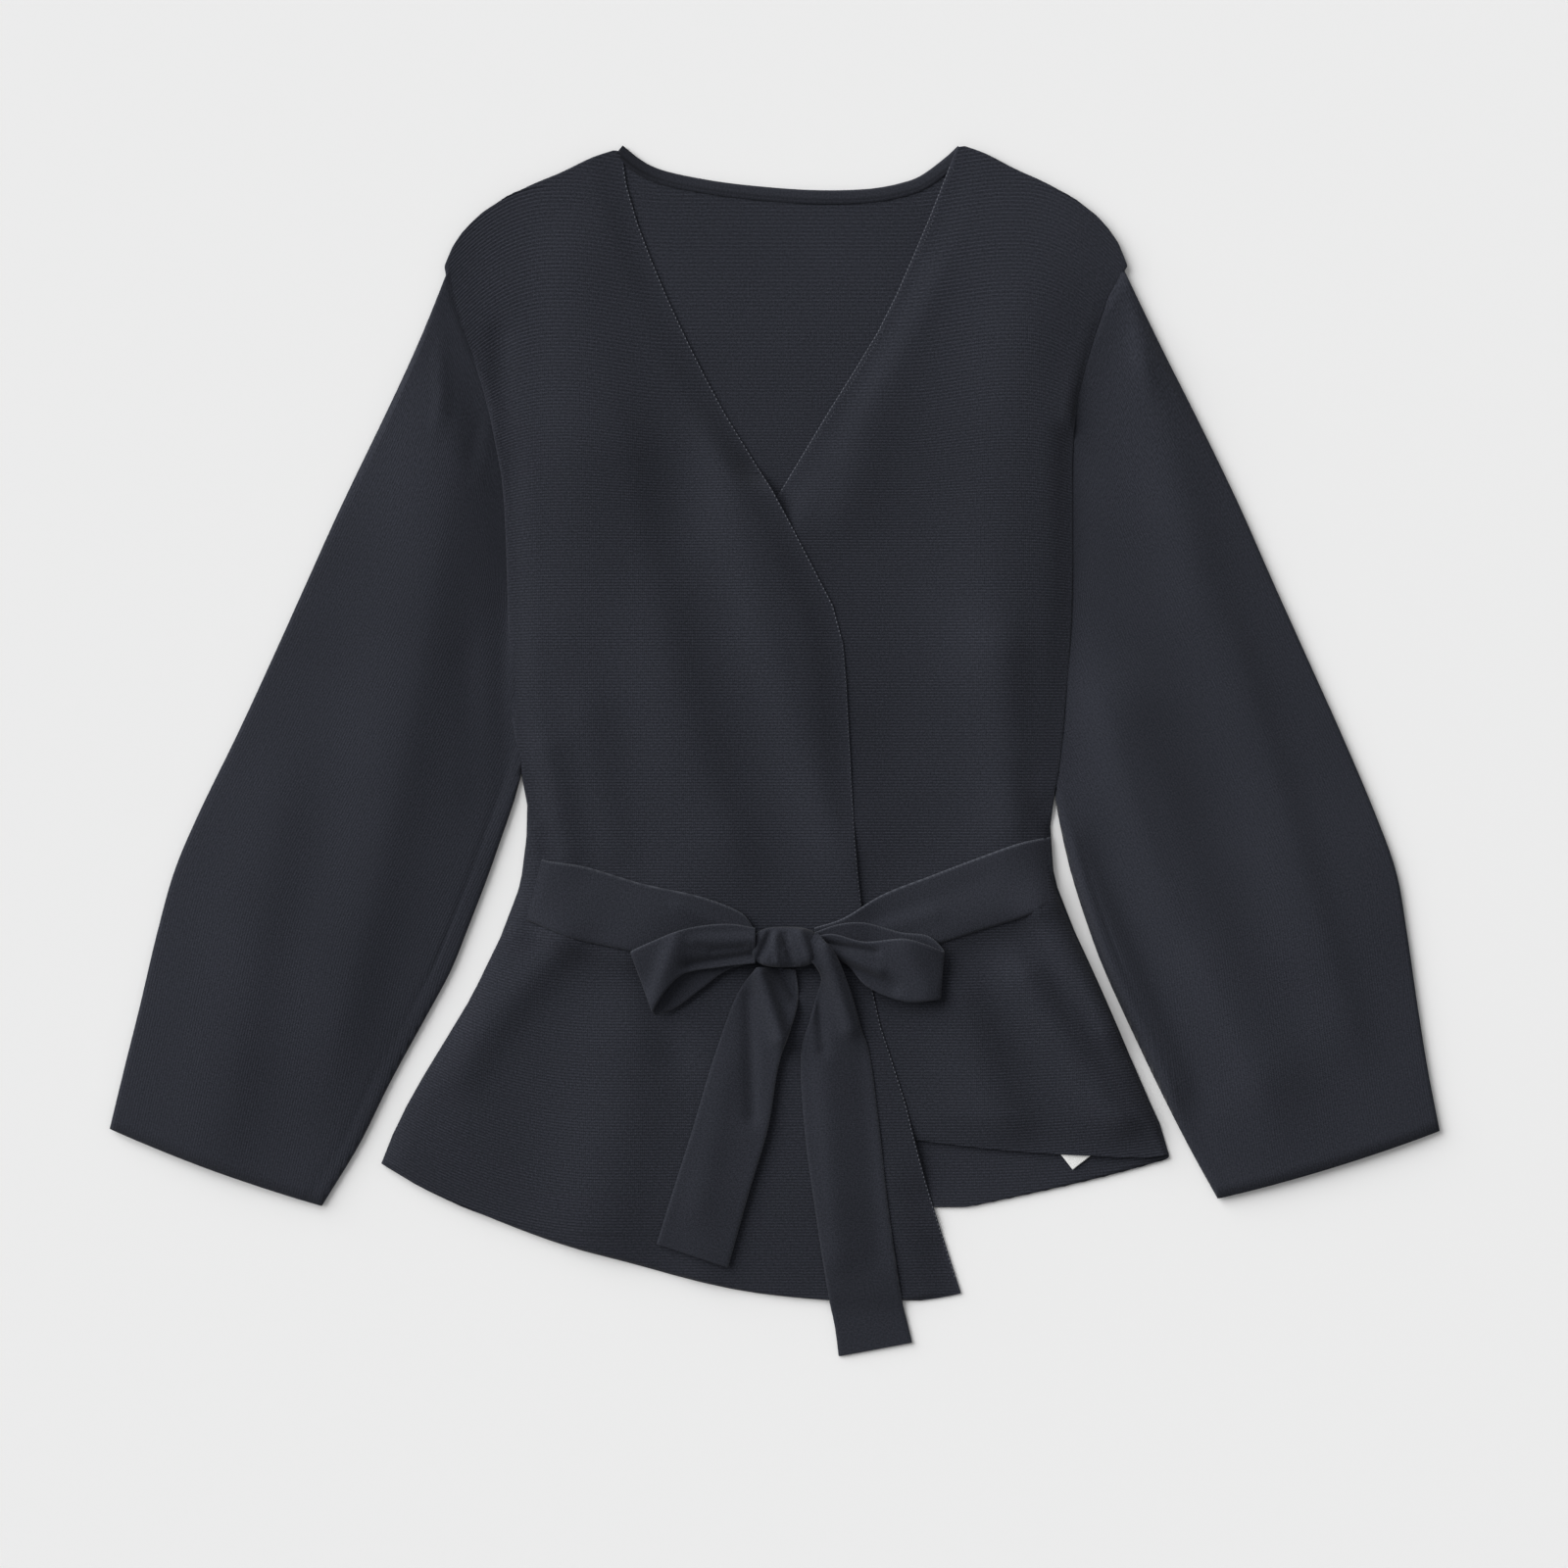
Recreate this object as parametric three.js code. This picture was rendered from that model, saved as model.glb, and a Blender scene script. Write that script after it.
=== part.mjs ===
import * as THREE from "three";
import { mergeVertices } from "three/addons/utils/BufferGeometryUtils.js";

// Knit wrap jacket with a tied belt, laid flat and face up.
// Millimetres. +X is the wearer's left, +Y the neck, +Z up. It rests on z = 0.

// Driving dimensions
const cloth = 1.8;
const beltCloth = 2;
const seamGap = 0.4;
const armholeGap = 0.6;
const layerGap = 0.8;
const neckBandWidth = 7;
const drapeHeight = 2.2;
const drapeLimit = 3.4;
const sleeveCrown = 1.8;
const sleeveLimit = 7.4;
const sleeveTuck = 6.4;
const tuckedSideLift = 3;
const cuffBow = 2.5;
const neckColumns = 14;

// Shoulder tips, neck points and hem corners of the body
const shoulderY = 309.1;
const rightNeck = { x: -97.8, y: 384.7 };
const leftNeck = { x: 117.2, y: 387.2 };
const hemCornerY = -264.7;

// Height at which the two free edges cross
const crossingY = 162;

// Side edges of the body, from the armholes through the waist to the hem
const bodySections = [
  { y: 309.1, right: -210.9, left: 225.3 },
  { y: 287, right: -207, left: 211.7 },
  { y: 260, right: -196.7, left: 203 },
  { y: 228, right: -185.4, left: 194 },
  { y: 196, right: -178.4, left: 190.4 },
  { y: 166, right: -173.4, left: 190.3 },
  { y: 88, right: -170.3, left: 189.7 },
  { y: 26, right: -168.4, left: 185.3 },
  { y: -13, right: -162.2, left: 181.6 },
  { y: -38, right: -157.8, left: 177 },
  { y: -60, right: -159.1, left: 175.9 },
  { y: -80, right: -161.3, left: 178.1 },
  { y: -104, right: -168.2, left: 186.4 },
  { y: -128, right: -179.4, left: 197.4 },
  { y: -165, right: -197.8, left: 214.1 },
  { y: -190, right: -213.4, left: 224.7 },
  { y: -215, right: -228.4, left: 235.3 },
  { y: -240, right: -241.6, left: 246.6 },
  { y: -264.7, right: -251.6, left: 253.6 },
];

// Free edges of the two fronts: the V neck down to y = 162, then the wrap
const openingSections = [
  { y: 387.2, right: -98.2, left: 117.2 },
  { y: 365, right: -95.3, left: 108.5 },
  { y: 343, right: -89.6, left: 99.9 },
  { y: 314, right: -79, left: 87.6 },
  { y: 271, right: -60.3, left: 67.9 },
  { y: 217, right: -32.8, left: 34.8 },
  { y: 162, right: 0.8, left: 1.6 },
  { y: 125, right: 20, left: -21 },
  { y: 88, right: 39.1, left: -37.8 },
  { y: 66, right: 44.1, left: -39.8 },
  { y: 19, right: 47.2, left: -41.6 },
  { y: -50, right: 50.9, left: -45.3 },
  { y: -87, right: 54.1, left: -49.1 },
  { y: -162, right: 64.1, left: -56.6 },
  { y: -197, right: 74.7, left: -61 },
  { y: -222, right: 82.8, left: -63.6 },
  { y: -264, right: 93.3, left: -67.2 },
  { y: -300, right: 104.1, left: -70 },
  { y: -347.2, right: 119.1, left: -74 },
];

// Fall of the shoulder, as shares of its width and of its whole drop
const shoulderSlope = [
  { out: 0, drop: 0 },
  { out: 0.16, drop: 0.08 },
  { out: 0.34, drop: 0.21 },
  { out: 0.5, drop: 0.31 },
  { out: 0.66, drop: 0.43 },
  { out: 0.78, drop: 0.54 },
  { out: 0.89, drop: 0.7 },
  { out: 0.96, drop: 0.85 },
  { out: 1, drop: 1 },
];

const neckline = [
  { x: -96, y: 386 },
  { x: -84.7, y: 376.6 },
  { x: -72.8, y: 370.9 },
  { x: -38.4, y: 363.6 },
  { x: -4.7, y: 359.7 },
  { x: 22.2, y: 357.9 },
  { x: 45.9, y: 357.8 },
  { x: 64.7, y: 359.1 },
  { x: 80.3, y: 362.2 },
  { x: 92.2, y: 366.4 },
  { x: 110.3, y: 379.7 },
  { x: 116.2, y: 385.6 },
];

const rightFrontHem = [
  { x: -251.6, y: -264.7 },
  { x: -200.9, y: -290.3 },
  { x: -137.2, y: -315.3 },
  { x: -84.7, y: -329.6 },
  { x: -48.4, y: -339.5 },
  { x: -12.8, y: -346.6 },
  { x: 37.2, y: -351.6 },
  { x: 84.1, y: -352.8 },
  { x: 119.1, y: -347.2 },
];

const leftFrontHem = [
  { x: -67.2, y: -263.4 },
  { x: 96.6, y: -263.4 },
  { x: 155.9, y: -259.4 },
  { x: 185.9, y: -260.3 },
  { x: 202.8, y: -257.6 },
  { x: 217.8, y: -260.1 },
  { x: 252.8, y: -259.6 },
];

const backHem = [
  { x: -251.6, y: -264.7 },
  { x: -180, y: -282.5 },
  { x: -90, y: -296.5 },
  { x: 0, y: -300.9 },
  { x: 104.1, y: -294.7 },
  { x: 155.9, y: -285 },
  { x: 217.2, y: -270.9 },
  { x: 253.6, y: -260.5 },
];

// Each sleeve, cross section by cross section from the armhole to the cuff
const rightSleeve = {
  side: "right",
  outward: -1,
  sections: [
    { outerX: -210.9, outerY: 309.1, innerX: -164, innerY: 112 },
    { outerX: -230.3, outerY: 259.7, innerX: -163.8, innerY: 104 },
    { outerX: -252.2, outerY: 209.7, innerX: -163.6, innerY: 95 },
    { outerX: -275.3, outerY: 159.7, innerX: -163.3, innerY: 78 },
    { outerX: -297.8, outerY: 109.7, innerX: -162.8, innerY: 40 },
    { outerX: -320.3, outerY: 59.7, innerX: -160, innerY: -5 },
    { outerX: -343.4, outerY: 9.7, innerX: -178, innerY: -66 },
    { outerX: -367.8, outerY: -40.3, innerX: -197.6, innerY: -118 },
    { outerX: -383.2, outerY: -76.6, innerX: -206.6, innerY: -140.3 },
    { outerX: -394.1, outerY: -115.3, innerX: -221.4, innerY: -168 },
    { outerX: -405.9, outerY: -165.3, innerX: -245, innerY: -211 },
    { outerX: -415.6, outerY: -204, innerX: -265.4, innerY: -252 },
    { outerX: -424.7, outerY: -241.6, innerX: -289.1, innerY: -290.9 },
  ],
};

const leftSleeve = {
  side: "left",
  outward: 1,
  sections: [
    { outerX: 225.3, outerY: 309.1, innerX: 183.5, innerY: 112 },
    { outerX: 248.4, outerY: 259.7, innerX: 183.4, innerY: 104 },
    { outerX: 272.2, outerY: 209.7, innerX: 183.2, innerY: 95 },
    { outerX: 295.3, outerY: 159.7, innerX: 182.8, innerY: 78 },
    { outerX: 317.2, outerY: 109.7, innerX: 180.6, innerY: 40 },
    { outerX: 339.7, outerY: 59.7, innerX: 176.5, innerY: -5 },
    { outerX: 362.2, outerY: 9.7, innerX: 186.6, innerY: -68 },
    { outerX: 383.4, outerY: -40.3, innerX: 203, innerY: -121 },
    { outerX: 397, outerY: -78, innerX: 211.4, innerY: -142.5 },
    { outerX: 403.6, outerY: -115.3, innerX: 224.5, innerY: -171.5 },
    { outerX: 410.9, outerY: -165.3, innerX: 246, innerY: -216.7 },
    { outerX: 417.3, outerY: -205, innerX: 264.4, innerY: -253 },
    { outerX: 424.7, outerY: -243, innerX: 282.8, innerY: -286.3 },
  ],
};

// Stops round a flattened sleeve: up one edge, over the top and back beneath
const sleeveRing = [
  { across: 0, level: "edge" },
  { across: 0.02, level: "top" },
  { across: 0.08, level: "top" },
  { across: 0.18, level: "top" },
  { across: 0.3, level: "top" },
  { across: 0.42, level: "top" },
  { across: 0.54, level: "top" },
  { across: 0.66, level: "top" },
  { across: 0.78, level: "top" },
  { across: 0.88, level: "top" },
  { across: 0.94, level: "top" },
  { across: 0.98, level: "top" },
  { across: 1, level: "edge" },
  { across: 0.98, level: "bottom" },
  { across: 0.86, level: "bottom" },
  { across: 0.74, level: "bottom" },
  { across: 0.62, level: "bottom" },
  { across: 0.5, level: "bottom" },
  { across: 0.38, level: "bottom" },
  { across: 0.26, level: "bottom" },
  { across: 0.14, level: "bottom" },
  { across: 0.02, level: "bottom" },
];
const sleeveRows = 24;
const sleeveEdgeHeight = 4.4;

// Where the tuck begins below the shoulder, and how the tube opens along its length
const tuckStart = { y: 217, fade: 27 };
const sleeveOpening = {
  rise: 0.08,
  crownFade: 45,
  open: 0.2,
  cuff: 0.85,
  cuffClose: 0.6,
  straighten: 0.3,
  bow: 0.8,
};

// The largest soft folds: ridges, and troughs where the height is below zero
const folds = [
  { x0: -139, y0: 215, x1: -141, y1: -35, width: 30, height: 1.1 },
  { x0: -8, y0: 140, x1: -5, y1: -95, width: 36, height: 1 },
  { x0: -146, y0: -2, x1: -132, y1: -66, width: 20, height: 0.9 },
  { x0: -142, y0: -118, x1: -186, y1: -200, width: 22, height: 1.3 },
  { x0: 150, y0: 215, x1: 146, y1: 40, width: 30, height: 0.9 },
  { x0: 80, y0: 120, x1: 78, y1: -30, width: 30, height: -0.8 },
  { x0: 160, y0: -108, x1: 223, y1: -226, width: 22, height: 1.3 },
  { x0: 122, y0: -190, x1: 125, y1: -240, width: 22, height: 0.9 },
  { x0: -60, y0: -200, x1: -120, y1: -300, width: 34, height: 0.8 },
  { x0: -225, y0: 130, x1: -218, y1: -70, width: 36, height: 1.1 },
  { x0: -300, y0: -40, x1: -345, y1: -220, width: 40, height: 1 },
  { x0: 198, y0: 0, x1: 273, y1: -163, width: 30, height: 1.2 },
  { x0: 240, y0: 220, x1: 300, y1: 60, width: 34, height: 0.9 },
];

// Centre line of the belt round the waist, where it presses the fronts down
const beltLine = [
  { x: -153, y: -89 },
  { x: -89, y: -106 },
  { x: -49, y: -116 },
  { x: 6, y: -125 },
  { x: 70, y: -113 },
  { x: 128, y: -92 },
  { x: 177, y: -76 },
];
const beltPress = { share: 0.6, reach: 32 };

// Lengths over which the layers' heights change from one to the next
const drapeFade = { shoulder: 50, opening: 45, side: 45, crossingSlope: 1.2, leftHem: 30, rightHem: 40 };
const tuckedSide = { top: 240, topFade: 20, bottom: -62, bottomFade: 30 };
const frontLap = { before: 62, fade: 40, bottom: -322 };
const pastBackHem = { before: 58, fade: 40 };
const stepDown = { past: 42, fade: 32, hemPast: 30, hemFade: 20 };
const backInset = { least: 1, hidden: 8, top: 236, topFade: 10, bottom: -44, bottomFade: 14, shoulder: 0.8 };

// Ribbon stretches of the belt. A section runs from edge a to edge b, and rise
// is the height of the ribbon's middle above the fronts that it lies on.
const onFront = layerGap + beltCloth / 2;

const rightStripSections = [
  { ax: -157.8, ay: -108.4, bx: -148.4, by: -69.7, aRise: onFront, bRise: onFront },
  { ax: -128.4, ay: -119.7, bx: -121.6, by: -74.1, aRise: onFront, bRise: onFront },
  { ax: -92.2, ay: -127.8, bx: -85.3, by: -84.7, aRise: onFront, bRise: onFront },
  { ax: -53.4, ay: -137.2, bx: -44.1, by: -94.1, aRise: onFront, bRise: onFront },
  { ax: -26, ay: -138.5, bx: -20, by: -104.5, aRise: onFront, bRise: onFront },
  { ax: -13.6, ay: -134, bx: -13.6, by: -113, aRise: onFront, bRise: onFront },
];

const leftStripSections = [
  { ax: 175.9, ay: -55.3, bx: 178.4, by: -95.9, aRise: onFront, bRise: onFront },
  { ax: 156.6, ay: -59.1, bx: 160.3, by: -105.3, aRise: onFront, bRise: onFront },
  { ax: 126.6, ay: -69.7, bx: 130.9, by: -114.7, aRise: onFront, bRise: onFront },
  { ax: 100.3, ay: -79.7, bx: 105.9, by: -122.8, aRise: onFront, bRise: onFront },
  { ax: 68.4, ay: -92.2, bx: 71.6, by: -133, aRise: onFront, bRise: onFront },
  { ax: 42.8, ay: -107.4, bx: 43.4, by: -136, aRise: onFront, bRise: onFront },
  { ax: 25.4, ay: -113, bx: 25.4, by: -134, aRise: onFront, bRise: onFront },
];

const rightLoopSections = [
  { ax: -13.3, ay: -135.3, bx: -13.3, by: -112.8, aRise: 11.5, bRise: 11.5 },
  { ax: -34.7, ay: -137.8, bx: -29.7, by: -110.3, aRise: 13.5, bRise: 14 },
  { ax: -58.5, ay: -142.5, bx: -56.6, by: -113.4, aRise: 14.5, bRise: 16 },
  { ax: -70.3, ay: -154.1, bx: -78.4, by: -121.6, aRise: 13, bRise: 14 },
  { ax: -76.8, ay: -167.6, bx: -91.2, by: -127.8, aRise: 8.6, bRise: 9 },
  { ax: -65.4, ay: -165.3, bx: -80.3, by: -125.3, aRise: 4.4, bRise: 4.6 },
  { ax: -46.9, ay: -152.2, bx: -53.4, by: -120.3, aRise: 4.4, bRise: 4.4 },
  { ax: -32.8, ay: -141.6, bx: -29, by: -116.6, aRise: 4.6, bRise: 4.6 },
  { ax: -13.3, ay: -133, bx: -13.3, by: -115.3, aRise: 5.6, bRise: 5.6 },
];

const leftLoopSections = [
  { ax: 25.1, ay: -118.4, bx: 26.4, by: -128, aRise: 8, bRise: 8 },
  { ax: 36.5, ay: -116.8, bx: 44.6, by: -135.3, aRise: 10.5, bRise: 8.5 },
  { ax: 56.6, ay: -121.6, bx: 58.8, by: -150.3, aRise: 14.5, bRise: 12 },
  { ax: 82.8, ay: -119.7, bx: 82.2, by: -159.6, aRise: 17, bRise: 15 },
  { ax: 98.4, ay: -124.1, bx: 97.8, by: -159.4, aRise: 14.5, bRise: 13 },
  { ax: 107.4, ay: -127.8, bx: 104.9, by: -157.8, aRise: 9, bRise: 8.5 },
  { ax: 98.6, ay: -118.6, bx: 94.4, by: -154.1, aRise: 4.6, bRise: 4.5 },
  { ax: 80.3, ay: -115.9, bx: 77.8, by: -149.7, aRise: 4.8, bRise: 4.6 },
  { ax: 55.9, ay: -109.7, bx: 59.1, by: -140.3, aRise: 4.4, bRise: 4.4 },
  { ax: 40.3, ay: -110.9, bx: 42.2, by: -130.9, aRise: 4.4, bRise: 4.4 },
  { ax: 25.1, ay: -116, bx: 25.4, by: -126, aRise: 4.6, bRise: 4.6 },
];

const rightTailSections = [
  { ax: -11.6, ay: -138.2, bx: 13.4, by: -139.4, aRise: onFront, bRise: onFront },
  { ax: -22.8, ay: -153.4, bx: 14.8, by: -160.3, aRise: onFront, bRise: onFront },
  { ax: -38.4, ay: -194.7, bx: 2.8, by: -199.7, aRise: onFront, bRise: onFront },
  { ax: -52.8, ay: -242.8, bx: -4.1, by: -240.3, aRise: onFront, bRise: onFront },
  { ax: -64.1, ay: -278.4, bx: -16.6, by: -282.8, aRise: onFront, bRise: onFront },
  { ax: -75.3, ay: -314.7, bx: -29.7, by: -329.7, aRise: onFront, bRise: onFront },
];

const leftTailSections = [
  { ax: 27.8, ay: -132.8, bx: 34.7, by: -125.3, aRise: 13, bRise: 13 },
  { ax: 29.7, ay: -141.6, bx: 43.6, by: -141.6, aRise: 9.5, bRise: 10.5 },
  { ax: 27.2, ay: -152.8, bx: 48.6, by: -155.9, aRise: 4.5, bRise: 6 },
  { ax: 22.4, ay: -171.6, bx: 54.7, by: -174.7, aRise: onFront, bRise: 2.4 },
  { ax: 17, ay: -190.9, bx: 59.7, by: -189.8, aRise: onFront, bRise: onFront },
  { ax: 19.1, ay: -242.8, bx: 66.6, by: -239.2, aRise: onFront, bRise: onFront },
  { ax: 25.3, ay: -289.7, bx: 72.2, by: -289.7, aRise: onFront, bRise: onFront },
  { ax: 34.7, ay: -350.3, bx: 81.6, by: -352.2, aRise: onFront, bRise: onFront },
  { ax: 38.4, ay: -368.4, bx: 84.7, by: -365.3, aRise: onFront, bRise: onFront },
  { ax: 40.9, ay: -387.2, bx: 87.8, by: -378.4, aRise: beltCloth / 2, bRise: onFront },
];

const knot = { x: 5.9, y: -124.7, halfX: 18.7, halfY: 12.5, halfZ: 8.6, squareness: 0.62 };

const careLabel = { x: 196.2, y: -254.3, width: 26, height: 14, thickness: 0.9, turn: 38 };
const labelLift = { height: 1.9, reach: 26, top: -205, fade: 30 };

// Curves and heights

function smooth(value) {
  return THREE.MathUtils.smoothstep(value, 0, 1);
}

function slopeAt(rows, index, from, to) {
  const before = rows[Math.max(index - 1, 0)];
  const after = rows[Math.min(index + 1, rows.length - 1)];
  return (after[to] - before[to]) / (after[from] - before[from]);
}

// Reads a table of named columns at any value, on a smooth curve through its rows
function lookup(table, from, to, value) {
  const rising = table[0][from] < table[1][from];
  const rows = rising ? table : [...table].reverse();
  const last = rows.length - 1;
  if (value <= rows[0][from]) {
    return rows[0][to];
  }
  if (value >= rows[last][from]) {
    return rows[last][to];
  }
  let i = 0;
  while (rows[i + 1][from] < value) {
    i += 1;
  }
  const span = rows[i + 1][from] - rows[i][from];
  const t = (value - rows[i][from]) / span;
  const ease = t * t * (3 - 2 * t);
  const leave = slopeAt(rows, i, from, to) * span * t * (1 - t) * (1 - t);
  const arrive = slopeAt(rows, i + 1, from, to) * span * t * t * (1 - t);
  return rows[i][to] * (1 - ease) + rows[i + 1][to] * ease + leave - arrive;
}

const rightSide = (y) => lookup(bodySections, "y", "right", y);
const leftSide = (y) => lookup(bodySections, "y", "left", y);
const rightEdge = (y) => lookup(openingSections, "y", "right", y);
const leftEdge = (y) => lookup(openingSections, "y", "left", y);

function shoulderLine(neck, tipX, x) {
  const out = (x - neck.x) / (tipX - neck.x);
  return neck.y - lookup(shoulderSlope, "out", "drop", out) * (neck.y - shoulderY);
}

const rightShoulder = (x) => shoulderLine(rightNeck, rightSide(shoulderY), x);
const leftShoulder = (x) => shoulderLine(leftNeck, leftSide(shoulderY), x);

function foldHeight(x, y) {
  let height = 0;
  for (const fold of folds) {
    const start = new THREE.Vector3(fold.x0, fold.y0, 0);
    const end = new THREE.Vector3(fold.x1, fold.y1, 0);
    const point = new THREE.Vector3(x, y, 0);
    const nearest = new THREE.Line3(start, end).closestPointToPoint(point, true, new THREE.Vector3());
    height += fold.height * Math.exp(-((nearest.distanceTo(point) / fold.width) ** 2));
  }
  return height;
}

// Where the sleeves lie tucked beneath them, the sides of the fronts stay lifted
function sideLift(y) {
  const belowTop = smooth((tuckedSide.top - y) / tuckedSide.topFade);
  const aboveBottom = smooth((y - tuckedSide.bottom) / tuckedSide.bottomFade);
  return tuckedSideLift * belowTop * aboveBottom;
}

// Air under the fronts, from none at the seams and free edges to soft folds
function drape(x, y) {
  const fromSide = Math.min(x - rightSide(y), leftSide(y) - x);
  const shoulder = x < rightNeck.x ? rightShoulder(x) : leftShoulder(Math.max(x, leftNeck.x));
  const belowCrossing = Math.max(crossingY - y, 0);
  const fromOpening = Math.max(rightEdge(y) - x, x - leftEdge(y)) + drapeFade.crossingSlope * belowCrossing;
  const pressed = Math.exp(-(((y - lookup(beltLine, "x", "y", x)) / beltPress.reach) ** 2));
  const fromSeams = smooth((shoulder - y) / drapeFade.shoulder) * smooth(fromOpening / drapeFade.opening);
  const free = fromSeams * (1 - beltPress.share * pressed);
  const inner = THREE.MathUtils.clamp((drapeHeight + foldHeight(x, y)) * free, 0, drapeLimit);
  return THREE.MathUtils.lerp(sideLift(y), inner, smooth(fromSide / drapeFade.side));
}

function overlapLift(x, y) {
  const across = smooth((x - leftEdge(y) + frontLap.before) / frontLap.fade);
  return (cloth + layerGap) * across * smooth((y - frontLap.bottom) / frontLap.fade);
}

function leftFrontUnder(x, y) {
  const fromHem = y - lookup(leftFrontHem, "x", "y", x);
  const fromLabel = (x - careLabel.x) / labelLift.reach;
  const lift = labelLift.height * Math.exp(-(fromLabel ** 2)) * smooth((labelLift.top - y) / labelLift.fade);
  return cloth + seamGap + drape(x, y) * smooth(fromHem / drapeFade.leftHem) + lift;
}

function rightFrontUnder(x, y) {
  const fromHem = y - lookup(rightFrontHem, "x", "y", x);
  const fromBackHem = y - lookup(backHem, "x", "y", x);
  const onBack = smooth((fromBackHem + pastBackHem.before) / pastBackHem.fade);
  const draped = drape(x, y) * smooth(fromHem / drapeFade.rightHem);
  return (cloth + seamGap) * onBack + overlapLift(x, y) + draped;
}

// Height of whatever lies uppermost on the body, or of the floor past its hem
function topOfFronts(x, y) {
  const onRightFront = smooth((rightEdge(y) + stepDown.past - x) / stepDown.fade);
  const fromHem = y - lookup(rightFrontHem, "x", "y", x);
  const past = smooth((fromHem + stepDown.hemPast) / stepDown.hemFade);
  const leftTop = cloth + seamGap + drape(x, y) + cloth;
  const rightTop = rightFrontUnder(x, y) + cloth * past;
  return THREE.MathUtils.lerp(leftTop, Math.max(rightTop, 0), onRightFront);
}

// Solids

function closedSolid(geometry) {
  geometry.deleteAttribute("normal");
  geometry.deleteAttribute("uv");
  const merged = mergeVertices(geometry, 1e-4);
  const position = merged.attributes.position;
  const index = merged.index;
  const corners = [new THREE.Vector3(), new THREE.Vector3(), new THREE.Vector3()];
  let volume = 0;
  for (let i = 0; i < index.count; i += 3) {
    corners.forEach((corner, k) => corner.fromBufferAttribute(position, index.getX(i + k)));
    volume += corners[0].dot(corners[1].clone().cross(corners[2]));
  }
  if (volume < 0) {
    for (let i = 0; i < index.count; i += 3) {
      const first = index.getX(i);
      index.setX(i, index.getX(i + 1));
      index.setX(i + 1, first);
    }
  }
  merged.computeVertexNormals();
  return merged;
}

// A sheet with both faces: place gives the point at a share across and along,
// on the under face (face 0) or the upper face (face 1)
function sheetGeometry(columns, rows, place) {
  const geometry = new THREE.BoxGeometry(1, 1, 1, columns, rows, 1);
  const position = geometry.attributes.position;
  for (let i = 0; i < position.count; i += 1) {
    const across = position.getX(i) + 0.5;
    const along = 0.5 - position.getY(i);
    const face = position.getZ(i) > 0 ? 1 : 0;
    const point = place(across, along, face);
    position.setXYZ(i, point.x, point.y, point.z);
  }
  return closedSolid(geometry);
}

// A panel stretched between its four edges, each a function of its share
function panelGeometry({ columns, rows, top, bottom, start, end, under, thickness = cloth }) {
  const corners = [top(0), top(1), bottom(0), bottom(1)];
  const blend = (key, u, v) => {
    const rowsPart = (1 - v) * top(u)[key] + v * bottom(u)[key];
    const columnsPart = (1 - u) * start(v)[key] + u * end(v)[key];
    const upper = (1 - u) * corners[0][key] + u * corners[1][key];
    const lower = (1 - u) * corners[2][key] + u * corners[3][key];
    return rowsPart + columnsPart - (1 - v) * upper - v * lower;
  };
  return sheetGeometry(columns, rows, (u, v, face) => {
    const x = blend("x", u, v);
    const y = blend("y", u, v);
    return { x, y, z: under(x, y) + face * thickness };
  });
}

// A ribbon through its sections, with its thickness square to its surface
function ribbonGeometry(sections, columns, rows) {
  const edge = (x, y, rise) =>
    new THREE.CatmullRomCurve3(
      sections.map((row) => new THREE.Vector3(row[x], row[y], row[rise])),
      false,
      "centripetal",
    );
  const edgeA = edge("ax", "ay", "aRise");
  const edgeB = edge("bx", "by", "bRise");
  const middle = (u, v) => {
    const share = THREE.MathUtils.clamp(v, 0, 1);
    const point = edgeA.getPoint(share).lerp(edgeB.getPoint(share), u);
    point.z += topOfFronts(point.x, point.y);
    return point;
  };
  const step = 0.01;
  return sheetGeometry(columns, rows, (u, v, face) => {
    const point = middle(u, v);
    const across = middle(1, v).sub(middle(0, v));
    const along = middle(u, Math.min(v + step, 1)).sub(middle(u, Math.max(v - step, 0)));
    const normal = across.cross(along).normalize();
    return point.addScaledVector(normal, (face - 0.5) * beltCloth);
  });
}

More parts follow.
